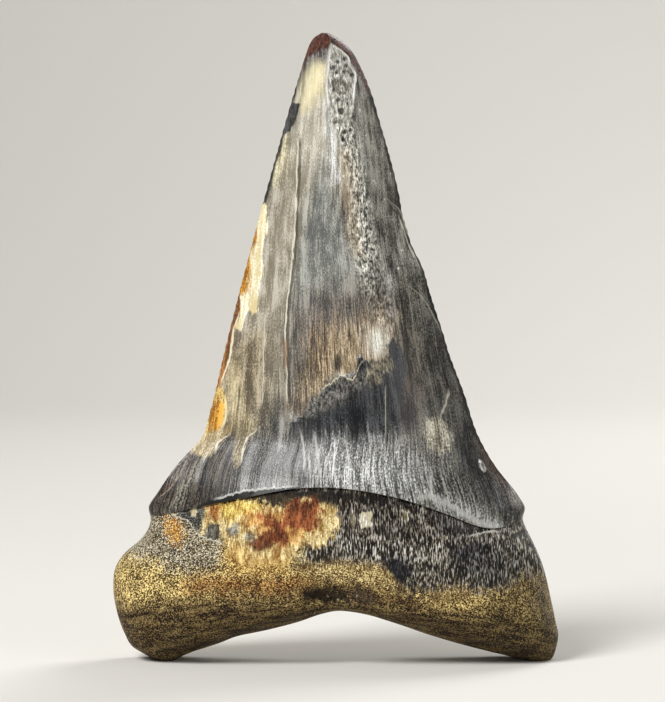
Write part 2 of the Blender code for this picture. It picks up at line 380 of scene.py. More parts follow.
def addFlatMap(mesh, tongueGrid, lipGrid, tongueNumbers, lipNumbers):
    # Lays both sides flat, side by side, by the lengths along their rows and columns.
    collarRow = tooth["underRows"] + tooth["rootRows"]
    placed = []
    for grid in (tongueGrid, lipGrid):
        across = np.cumsum(np.linalg.norm(np.diff(grid, axis=1, prepend=grid[:, :1]), axis=2), axis=1)
        upward = np.cumsum(np.linalg.norm(np.diff(grid, axis=0, prepend=grid[:1]), axis=2), axis=0)
        across = across - across[:, across.shape[1] // 2][:, None]
        upward = upward - upward[collarRow] + upward.mean(axis=1)[collarRow]
        placed.append(np.stack([across, upward], axis=-1))
    low = np.minimum(*[side.reshape(-1, 2).min(axis=0) for side in placed])
    high = np.maximum(*[side.reshape(-1, 2).max(axis=0) for side in placed])
    scale = tooth["mapFill"] / max(2 * (high[0] - low[0]), high[1] - low[1])
    vertexCount = len(mesh.vertices)
    corners = np.empty(len(mesh.loops), int)
    mesh.loops.foreach_get("vertex_index", corners)
    maps = np.zeros((2, vertexCount, 2))
    for side, numbers in enumerate((tongueNumbers, lipNumbers)):
        maps[side, numbers.ravel()] = (placed[side].reshape(-1, 2) - low) * scale
        maps[side, :, 0] += tooth["mapMargin"] + 0.5 * side
        maps[side, :, 1] += tooth["mapMargin"]
    onLip = np.arange(len(corners)) >= len(corners) // 2
    layer = mesh.uv_layers.new(name="OFBake")
    layer.data.foreach_set("uv", maps[onLip.astype(int), corners].ravel())


# Markings are outlines in x and height on the upright plane of the edges, as seen from the studio's
# viewpoint. Each has a dark and a light colour for the grain, roughness, softness of its border,
# raggedness and cover.
enamelMarkings = {
    # Partly the enamel's own pale grey, partly painted light: the side towards the key light is painted
    # paler.
    "paleLitSide": ("#7d7564", "#beb7a8", 0.36, 3.0, 0.5, 1.0, [
        (-9.2, 34.4), (-7.1, 43.5), (-5.8, 48.4), (-5.1, 50.3), (-3.8, 52.5), (-0.7, 52.5), (-0.6, 48.8),
        (-0.7, 45.0), (-1.3, 41.1), (-1.9, 34.4), (-3.4, 31.5), (-4.6, 24.8), (-9.2, 22.4), (-10.9, 22.4),
        (-12.0, 29.6)]),
    "paleCrest": ("#a29c8f", "#e0dbce", 0.36, 3.0, 0.5, 0.8, [
        (-3.0, 53.6), (-0.9, 53.6), (-0.7, 50.8), (-0.6, 47.9), (-1.3, 46.1), (-2.7, 46.7), (-3.5, 48.8),
        (-3.6, 51.2)]),
    "blueGrey": ("#585957", "#a5a69f", 0.36, 1.8, 0.6, 1.0, [
        (-1.3, 47.9), (-0.6, 46.9), (0.0, 44.0), (0.9, 40.2), (2.5, 35.4), (2.9, 31.5), (0.4, 29.6),
        (-1.5, 24.8), (-3.4, 23.3), (-4.5, 24.8), (-4.5, 31.5), (-4.0, 37.3), (-3.2, 42.6), (-2.1, 45.9)]),
    # Partly the enamel's own dark grey, partly painted shade: the right side, turned away from the key light,
    # is painted darker.
    "darkRightShade": ("#191817", "#605e58", 0.32, 3.0, 0.6, 0.8, [
        (9.1, 34.4), (11.5, 31.5), (13.9, 24.8), (15.8, 20.0), (17.7, 17.1), (12.9, 18.0), (9.1, 20.9),
        (7.9, 24.8), (8.5, 30.6)]),
    "upperGrey": ("#4a4840", "#b9b6ab", 0.36, 2.0, 0.6, 0.7, [
        (1.6, 56.5), (2.5, 56.1), (3.5, 53.6), (4.7, 48.8), (5.7, 44.0), (6.6, 41.5), (7.7, 38.0),
        (6.9, 36.6), (5.6, 39.0), (4.3, 42.6), (3.1, 46.9), (1.9, 51.7)]),
    "brownTint": ("#27221a", "#726556", 0.36, 3.0, 0.5, 0.55, [
        (5.7, 32.5), (8.1, 30.6), (8.9, 26.7), (8.6, 22.9), (6.6, 21.3), (6.2, 24.8), (6.6, 28.6)]),
    "tanSide": ("#b3a286", "#f9f9f8", 0.5, 0.7, 0.4, 0.9, [
        (0.0, 51.2), (0.6, 50.3), (1.1, 47.9), (1.6, 44.5), (1.9, 42.6), (1.4, 41.9), (0.8, 44.0),
        (0.4, 46.9)]),
    "roughStrip": ("#161514", "#f9f6ea", 0.6, 0.9, 0.5, 0.95, [
        (-0.4, 51.5), (1.4, 52.1), (2.0, 50.8), (2.5, 47.9), (3.1, 44.0), (3.9, 40.2), (5.0, 35.8),
        (5.8, 32.7), (5.0, 31.0), (3.9, 32.0), (2.9, 34.4), (1.9, 38.1), (1.6, 41.6), (1.3, 45.0),
        (0.5, 48.8)]),
    "stripShade": ("#060605", "#8c8b82", 0.6, 0.9, 0.5, 0.85, [
        (3.5, 38.9), (4.5, 37.2), (5.1, 35.1), (4.8, 32.7), (4.0, 33.5), (3.4, 35.7)]),
    "stripTan": ("#5f5445", "#dfcdb0", 0.5, 1.0, 0.5, 0.7, [
        (0.2, 48.8), (1.4, 48.8), (1.9, 45.0), (2.1, 41.1), (2.5, 38.7), (1.8, 38.7), (1.2, 41.6),
        (0.6, 45.0)]),
    "whiteHaze": ("#949693", "#f9f9f7", 0.4, 0.7, 0.3, 0.8, [
        (-0.8, 53.6), (-0.5, 52.5), (-0.1, 50.3), (0.1, 47.9), (0.5, 45.9), (-0.2, 45.7), (-0.6, 46.9),
        (-0.7, 49.3), (-0.9, 51.7)]),
    "greyBase": ("#141516", "#605e5b", 0.38, 1.2, 0.4, 0.8, [
        (-7, 24.8), (-4.9, 25), (-4.4, 23.3), (-4.8, 20.9), (-6.1, 21.3), (-7.1, 22.9)]),
    "speckledBase": ("#262321", "#a59d8f", 0.45, 0.8, 0.4, 0.85, [
        (-3.6, 29.4), (-2.7, 29.8), (-1.9, 29.1), (-1.7, 27.2), (-2.3, 25.5), (-3.2, 24.8), (-3.8, 25.7),
        (-3.9, 27.7)]),
    "reddishShade": ("#050303", "#4a3b37", 0.35, 1.4, 0.4, 0.8, [
        (5.4, 30.1), (6.4, 29.6), (7.3, 27.9), (8.1, 26.2), (7.9, 23.3), (7.1, 21.9), (6, 22.4),
        (5.5, 24.8), (5.2, 27.2)]),
    "stripRim": ("#5b584f", "#f9f9f9", 0.4, 0.35, 0.25, 0.85, [
        (4.9, 36.8), (5.5, 37.5), (5.8, 35.8), (5.5, 33.9), (5.5, 32), (5.2, 30.9), (4.9, 32.5),
        (4.8, 34.4)]),
    "khaki": ("#544937", "#b0a388", 0.4, 2.5, 0.6, 1.0, [
        (-10.9, 30.6), (-10.0, 30.9), (-7.1, 31.6), (-6.3, 30.1), (-6.4, 24.8), (-7.1, 21.7), (-7.8, 21.3),
        (-8.4, 20.6), (-8.9, 19.8), (-9.2, 19.0), (-9.4, 18.1), (-9.6, 18.8), (-9.8, 20.3), (-10.1, 21.6),
        (-10.6, 21.2), (-11.1, 20.4), (-11.6, 19.9), (-11.9, 19.1), (-12.3, 19.5), (-12.1, 20.9),
        (-10.9, 22.1), (-10.6, 24.8), (-10.8, 27.7)]),
    "creamWedge": ("#97896a", "#d8caa2", 0.4, 0.9, 0.3, 0.9, [
        (-10.4, 28.4), (-9.5, 28.4), (-9.1, 26.9), (-9.1, 24.8), (-9.3, 23.0), (-9.8, 22.2),
        (-10.4, 22.7), (-10.3, 24.6), (-10.5, 26.5)]),
    "woodGrain": ("#271e16", "#958772", 0.5, 6.0, 0.8, 1.0, [
        (-3.6, 32.3), (-2.5, 33.2), (-1.3, 33.9), (0.9, 34.4), (2.9, 34.4), (4.7, 34.6), (5.5, 34.2),
        (5.6, 32.0), (5.2, 31.0), (4.9, 30.1), (5.2, 29.1), (4.7, 27.0), (2.0, 26.0), (0.0, 25.5),
        (-1.3, 24.6), (-2.5, 23.3), (-3.4, 22.3), (-4.4, 23.6), (-4.6, 27.7), (-4.4, 30.6)]),
    "mauveTop": ("#221c1c", "#8d837e", 0.45, 5.0, 1.2, 0.8, [
        (-3.4, 33.4), (-1.5, 34.4), (0.9, 34.8), (3.3, 34.4), (4.7, 33.4), (5.0, 32.0), (3.3, 31.5),
        (0.9, 31.3), (-1.5, 31.0), (-3.4, 30.6)]),
    "goldStreaks": ("#33200e", "#cdb48e", 0.5, 2.2, 1.3, 0.9, [
        (-2.4, 30.7), (-1.9, 31.7), (-1.6, 30.8), (-1.0, 32.3), (-0.6, 31.1), (0.0, 32.5), (0.5, 30.9),
        (1.0, 31.5), (1.6, 30.4), (1.4, 27.5), (-0.1, 26.1), (-1.3, 25.0), (-2.3, 23.4), (-3.4, 23.0),
        (-3.8, 24.3), (-3.1, 25.7), (-2.6, 27.9)]),
    "creamBand": ("#6b5434", "#ecdcbe", 0.45, 2.0, 1.3, 0.85, [
        (0.7, 30.6), (1.1, 31.9), (1.6, 30.7), (2.0, 32.5), (2.5, 31.1), (3.1, 32.9), (3.7, 31.5),
        (4.4, 33.2), (4.8, 31.7), (5.3, 32.3), (5.0, 30.4), (5.1, 29.1), (4.6, 28.0), (3.5, 28.0),
        (2.5, 28.5), (1.5, 27.3), (0.2, 26.5), (-1.3, 25.0), (-2.6, 24.2), (-2.7, 25.2), (-1.5, 26.7),
        (-0.2, 28.1), (0.4, 29.4)]),
    "whiteGlow": ("#8f8272", "#f4e9d6", 0.4, 1.2, 0.9, 0.95, [
        (2.7, 31.8), (4.7, 32.2), (5.3, 31), (5, 29.6), (4.3, 28.6), (3.4, 28.5), (2.7, 29.4), (2.4, 30.7)]),
    "whiteSpot": ("#a09986", "#f9f9f1", 0.4, 0.7, 0.3, 1.0, [
        (3.4, 31.2), (4.2, 31.6), (4.9, 31.0), (5.0, 30.0), (4.6, 29.2), (3.8, 29.0), (3.3, 29.8)]),
    "darkSpot": ("#140f0b", "#3e312c", 0.4, 0.4, 0.2, 0.9, [
        (0.0, 29.2), (0.5, 29.0), (0.5, 28.1), (0.2, 27.4), (-0.2, 27.7), (-0.2, 28.6)]),
    "blueBlack": ("#121316", "#4c4d50", 0.26, 0.15, 0.35, 1.0, [
        (-3.4, 23.2), (-3.0, 23.6), (-2.5, 24.3), (-1.3, 25.6), (-0.6, 26.4), (0.0, 26.9), (0.4, 27.3),
        (1.4, 27.1), (1.9, 27.4), (2.1, 28.8), (2.5, 29.1), (3.0, 28.6), (4.7, 28.6), (5.2, 29.1),
        (4.9, 30.1), (5.4, 30.6), (6.4, 29.6), (6.7, 27.2), (6.2, 23.8), (6.4, 21.3), (4.3, 20.4),
        (0.4, 20.2), (-2.5, 20.4), (-4.2, 20.9), (-4.6, 22.4)]),
    "curls": ("#040405", "#85817a", 0.35, 0.8, 0.6, 0.9, [
        (-3.4, 23.6), (-2.7, 24.6), (-1.7, 25.5), (-0.9, 26.5), (-0.2, 27.3), (0.9, 27.1), (1.9, 27.5),
        (2.9, 27.6), (4.1, 28.1), (4.8, 28.4), (5.4, 28.8), (5.4, 27.5), (4.3, 26.7), (2.7, 26.1),
        (1.4, 25.4), (0.2, 24.4), (-1.3, 23.6), (-2.7, 23.0)]),
    "curlIsland": ("#4c4536", "#cdc3a2", 0.4, 0.5, 0.5, 0.6, [
        (3.3, 28.5), (4.3, 28.6), (5.2, 28.6), (5.6, 28.0), (4.8, 27.5), (4.2, 27.8), (3.8, 27.2),
        (4.4, 26.6), (3.6, 26.4), (3.1, 27.5)]),
    "lowerCrown": ("#1a1b1b", "#95938b", 0.3, 4.5, 0.9, 0.9, [
        (-14.0, 20.0), (-10.7, 20.4), (-7.1, 21.9), (-4.4, 21.7), (-2.5, 20.4), (0.4, 20.2), (4.3, 20.4),
        (6.4, 21.3), (9.1, 20.9), (11.5, 20.4), (12.9, 18.0), (13.9, 15.2), (15.8, 12.3), (8.1, 12.7),
        (0.4, 13.6), (-8.3, 13.3), (-14.0, 12.7), (-16.0, 14.1)]),
    "footShade": ("#191715", "#625e58", 0.32, 2.5, 0.8, 0.85, [
        (-10.6, 20.9), (-7.1, 21.3), (-3.4, 20.4), (-2.3, 18.8), (-3.4, 17.3), (-7.1, 16.7), (-9.6, 16.5),
        (-10.9, 18.0)]),
    "footDark": ("#0d0d0d", "#393936", 0.3, 1.5, 0.7, 0.85, [
        (11.5, 20.9), (13.9, 20.9), (16.3, 17.1), (17.7, 13.7), (15.8, 13.7), (13.7, 15.2), (12.1, 17.6)]),
    "leftFlange": ("#060403", "#55493c", 0.4, 1.2, 0.5, 0.9, [
        (-19.8, 12.2), (-19.9, 15.2), (-16.0, 19.5), (-13.5, 21.1), (-11.9, 20.7), (-10.9, 20.3),
        (-10.0, 20.0), (-9.6, 18.0), (-10.4, 15.9), (-12.0, 12.3)]),
    "rimShadow": ("#0d0c0a", "#1f1d1a", 0.9, 0.15, 0.1, 0.95, [
        (-13.4, 14.6), (-11.9, 15.2), (-10.8, 15.4), (-9.7, 15.8), (-8.6, 16.0), (-7.6, 16.1),
        (-6.5, 16.3), (-5.6, 16.3), (-4.6, 16.4), (-3.5, 16.4), (-3.5, 15.5), (-13.4, 13.7)]),
    "whiteDot": ("#a9a59a", "#e9e6dc", 0.4, 0.1, 0.1, 0.9, [
        (-17.59, 13.52, 0.15), (-16.53, 15.16, 0.1)]),
    # Painted highlight: a pale band along the enamel's lower edge on the right, where it catches the light.
    "rightLipHighlight": ("#575754", "#c8cac7", 0.35, 0.6, 0.3, 0.65, [
        (9.1, 15.8), (11, 15.5), (12.9, 14.8), (14.8, 13.6), (16.6, 12.5), (16.3, 11.9), (14.5, 12.3),
        (12.9, 13.6), (11.2, 13.4), (10.2, 14.5)]),
    # Painted highlight: white upright streaks where the flared foot of the crown catches the light.
    "footHighlight": ("#5c5d5b", "#ffffff", 0.3, 3.5, 1.8, 0.85, [
        (-1.3, 19.8), (-0.1, 20.4), (1.6, 20.0), (3.3, 20.4), (5.2, 19.8), (7.0, 18.8), (8.1, 17.3),
        (8.5, 15.9), (6.7, 15.9), (4.3, 16.0), (1.4, 16.2), (-1.0, 16.4), (-1.9, 17.3), (-0.9, 18.4)]),
    "greyDisc": ("#1f2125", "#5c5e61", 0.3, 0.4, 0.2, 0.8, [
        (-2.86, 17.08, 0.44), (-3.34, 17.75, 0.25)]),
    "paleRings": ("#8f8a7c", "#c9c4b4", 0.4, 0.15, 0.1, 0.6, [
        (2.04, 18.43, 0.19), (2.62, 18.24, 0.19), (3.78, 17.27, 0.13)]),
    "tanLobe": ("#6a5e47", "#cbbb96", 0.4, 0.5, 0.35, 0.85, [
        (-9.98, 23.24), (-8.73, 23.43), (-7.67, 22.95), (-7.67, 21.8), (-8.25, 21.31), (-8.64, 20.64),
        (-8.93, 19.49), (-9.21, 18.33), (-9.79, 18.24), (-9.89, 19.78), (-9.79, 21.22)]),
    "flangeRed": ("#1d110d", "#6f5347", 0.4, 0.6, 0.5, 0.75, [
        (-17.1, 16.9), (-15.6, 19.0), (-14.4, 20.0), (-13.8, 19.6), (-14.8, 18.0), (-16.0, 16.3),
        (-17.3, 15.2), (-17.9, 15.5)]),
    "flangeStreak": ("#151210", "#9a9384", 0.4, 0.5, 0.35, 0.85, [
        (-12.7, 20), (-12.3, 19.5), (-13.1, 18), (-14, 16.4), (-14.8, 14.7), (-15.8, 14), (-16, 14.7),
        (-15.2, 16.1), (-14.2, 17.9), (-13.4, 19.2)]),
    "edgeStreak": ("#28241f", "#938b80", 0.4, 0.3, 0.3, 0.85, [
        (-14.6, 19), (-14.2, 18.6), (-15, 17.8), (-15.9, 16.8), (-16.1, 17.2), (-15.5, 18)]),
    "whiteChip": ("#727067", "#f9f9f9", 0.4, 0.15, 0.1, 0.95, [
        (13.7, 19.1), (14.2, 18.9), (14.5, 18.1), (14.3, 17.8), (13.9, 18.1)]),
    "chipHole": ("#3c3a36", "#5c5952", 0.4, 0.1, 0.05, 0.9, [
        (13.9, 18.8), (14.1, 18.7), (14.2, 18.3), (14, 18.4)]),
    "palePatch": ("#554f42", "#e0dac6", 0.4, 0.5, 0.5, 0.95, [
        (8.7, 22.9), (9.6, 23.1), (10.4, 22.7), (11.2, 21.1), (11.0, 20.0), (10.0, 19.5), (8.9, 20.2),
        (8.3, 21.7)]),
    "creamFlank": ("#7c755a", "#f4ebc4", 0.4, 1.4, 0.4, 0.85, [
        (-5.3, 50.2), (-4.7, 50.3), (-4.6, 48.8), (-4.9, 47.4), (-5.3, 46.1), (-5.8, 45.6), (-6.3, 46.3),
        (-5.9, 48.6)]),
    # Painted glints: small white specks, mostly on the crown's right flank.
    "glintFlecks": ("#b9b5a8", "#f3f0e6", 0.4, 0.1, 0.1, 0.9, [
        (2.81, 55.57, 0.13), (5.41, 46.53, 0.17), (-6.23, 46.53, 0.15), (3.78, 45.56, 0.12),
        (4.74, 44.12, 0.1), (3.68, 45.85, 0.11), (2.91, 50.28, 0.09), (2.33, 52.69, 0.08),
        (4.26, 48.84, 0.08), (6.38, 39.21, 0.09), (5.99, 37.48, 0.1)]),
}

# Markings that lie over the dark rim of the cutting edges and wrap around them.
edgeMarkings = {
    "reddishEdge": ("#2f1f1a", "#7c6a5f", 0.45, 0.8, 0.4, 0.7, [
        (13.7, 20.9), (14.8, 19.0), (17.0, 16.1), (18.5, 14.7), (19.5, 13.0), (17.3, 14.6), (15.8, 16.5),
        (14.3, 18.8)]),
    "leftCream": ("#d2c08e", "#f9f9e5", 0.45, 0.15, 0.35, 1.0, [
        (-7.3, 44.2), (-6.9, 43.5), (-6.6, 42.6), (-6.5, 41.5), (-6.9, 40.2), (-7.1, 38.6), (-7.0, 37.8),
        (-7.3, 35.8), (-7.4, 34.4), (-7.5, 32.7), (-7.9, 33.1), (-8.3, 33.2), (-8.7, 32.7), (-9.2, 31.5),
        (-12.6, 31.5), (-11.6, 35.4), (-9.3, 43.6)]),
    "orangeSpots": ("#744609", "#eba832", 0.4, 0.5, 0.4, 1.0, [
        (-8.1, 41.3), (-7.7, 40.9), (-7.6, 40.0), (-8.1, 39.0), (-8.3, 38.1), (-8.1, 37.1), (-8.3, 35.7),
        (-8.9, 34.8), (-11.8, 34.8), (-10.2, 39.1)]),
    "rustRim": ("#54331a", "#b07a40", 0.4, 0.2, 0.15, 1.0, [
        (-10.6, 32.7), (-9.5, 35.4), (-9.1, 34.4), (-9.2, 33.0), (-9.8, 31.5), (-9.9, 30.3),
        (-10.1, 29.2), (-10.3, 28.2), (-10.6, 27.3), (-10.9, 26.7), (-11.1, 26.1), (-11.3, 25.5),
        (-11.9, 24.6), (-12.6, 24.6), (-15.1, 25.7), (-13.6, 30.6)]),
    "amber": ("#946b2e", "#e9cf86", 0.35, 0.4, 0.25, 1.0, [
        (-12.4, 25.0), (-11.5, 25.9), (-10.9, 25.9), (-10.6, 25.3), (-10.5, 24.0), (-10.8, 22.7),
        (-11.3, 21.9), (-12.1, 21.3), (-13.3, 20.4), (-15.3, 20.9), (-14.3, 24.9)]),
    "amberDeep": ("#7c450c", "#efae3c", 0.35, 0.4, 0.2, 0.9, [
        (-12.0, 22.0), (-12.1, 23.0), (-11.8, 24.0), (-11.3, 24.8), (-10.8, 24.4), (-10.7, 23.4),
        (-10.9, 22.5), (-11.4, 21.8)]),
    "amberFoot": ("#84714f", "#e0cfa6", 0.4, 0.4, 0.25, 0.9, [
        (-14.0, 19.8), (-12.8, 21.6), (-11.9, 21.7), (-11.1, 21.7), (-10.7, 22.5), (-10.0, 22.3),
        (-10.1, 21.6), (-10.6, 21.2), (-11.0, 20.8), (-11.4, 20.3), (-11.9, 19.4), (-12.7, 19.2)]),
    "creamTip": ("#d5cba4", "#eee2be", 0.4, 1.6, 0.4, 1.0, [
        (-2.3, 57.3), (-1.7, 57.4), (-0.8, 57.3), (-0.8, 55.8), (-1.3, 54.4), (-2.1, 53.4), (-3.0, 52.6),
        (-3.3, 52.8), (-3.3, 53.4), (-3.3, 53.9), (-3.1, 55.2), (-2.9, 56.2)]),
    "blackSliver": ("#060607", "#4a4a4a", 0.5, 0.15, 0.12, 1.0, [
        (-3.4, 53.3), (-3.5, 52.9), (-3.7, 52.2), (-4.0, 51.4), (-4.4, 50.7), (-5.0, 50.3), (-6.3, 50.2),
        (-5.7, 51.9), (-5.0, 53.4)]),
    "capShade": ("#292320", "#959290", 0.4, 0.9, 0.3, 0.9, [
        (-3.6, 55.4), (-3.8, 56.5), (-3.4, 58), (-2.9, 58.8), (-1.5, 59), (-0.6, 58.9), (-0.6, 57.7),
        (-1.1, 57.3), (-1.8, 57.6), (-2.5, 57.1), (-3.1, 56.2)]),
    "tipCap": ("#140504", "#78402b", 0.45, 0.3, 0.3, 1.0, [
        (-6.2, 54.1), (-3.7, 55.5), (-3.1, 57.3), (-2.6, 57.8), (-1.9, 58.2), (-1.3, 58.5), (-0.7, 58.5),
        (-0.5, 59.1), (0.2, 58.6), (1.0, 58.0), (1.6, 57.4), (1.9, 56.9), (2.5, 55.6), (3.1, 54.4),
        (6.3, 54.4), (4.5, 60.5), (0.4, 63.2), (-2.5, 63.2), (-6.2, 60.5)]),
    "tipScar": ("#716e66", "#e2dfd6", 0.6, 0.12, 0.08, 1.0, [
        (-0.5, 59.2), (0.4, 58.6), (1.2, 57.9), (1.4, 57.3), (1.9, 56.5), (1.9, 55.6), (1.7, 54.1),
        (1.7, 52.9), (1.5, 51.9), (1.0, 51.1), (0.2, 51.0), (-0.5, 51.5), (-0.6, 52.9), (-0.7, 54.1),
        (-0.9, 55.6), (-0.8, 57.3), (-0.6, 58.7)]),
    "scarPit": ("#1a1713", "#a19b8d", 0.6, 0.15, 0.15, 0.9, [
        (-0.5, 55.6), (-0.1, 55.8), (0.6, 55.6), (1.2, 55.2), (1.3, 54.7), (1.0, 54.2), (0.3, 54.1),
        (-0.3, 54.6)]),
    "scarPitFloor": ("#5b574e", "#ede7df", 0.6, 0.15, 0.1, 0.8, [
        (0.1, 55.2), (0.6, 55.1), (0.9, 54.8), (0.6, 54.4), (0.2, 54.6)]),
    "scarPits": ("#141210", "#4c4840", 0.7, 0.12, 0.1, 0.9, [
        (-0.26, 56.73, 0.25), (0.22, 57.3, 0.17), (0.79, 57.59, 0.21), (0.99, 56.92, 0.15),
        (1.56, 56.05, 0.21), (0.02, 56.25, 0.15), (0.79, 56.34, 0.14), (0.51, 52.59, 0.35),
        (0.22, 53.65, 0.17), (0.89, 50.57, 0.25), (0.75, 49.8, 0.23), (1.37, 50.76, 0.17),
        (0.02, 51.53, 0.15), (1.18, 53.26, 0.13), (1.56, 51.92, 0.14)]),
}

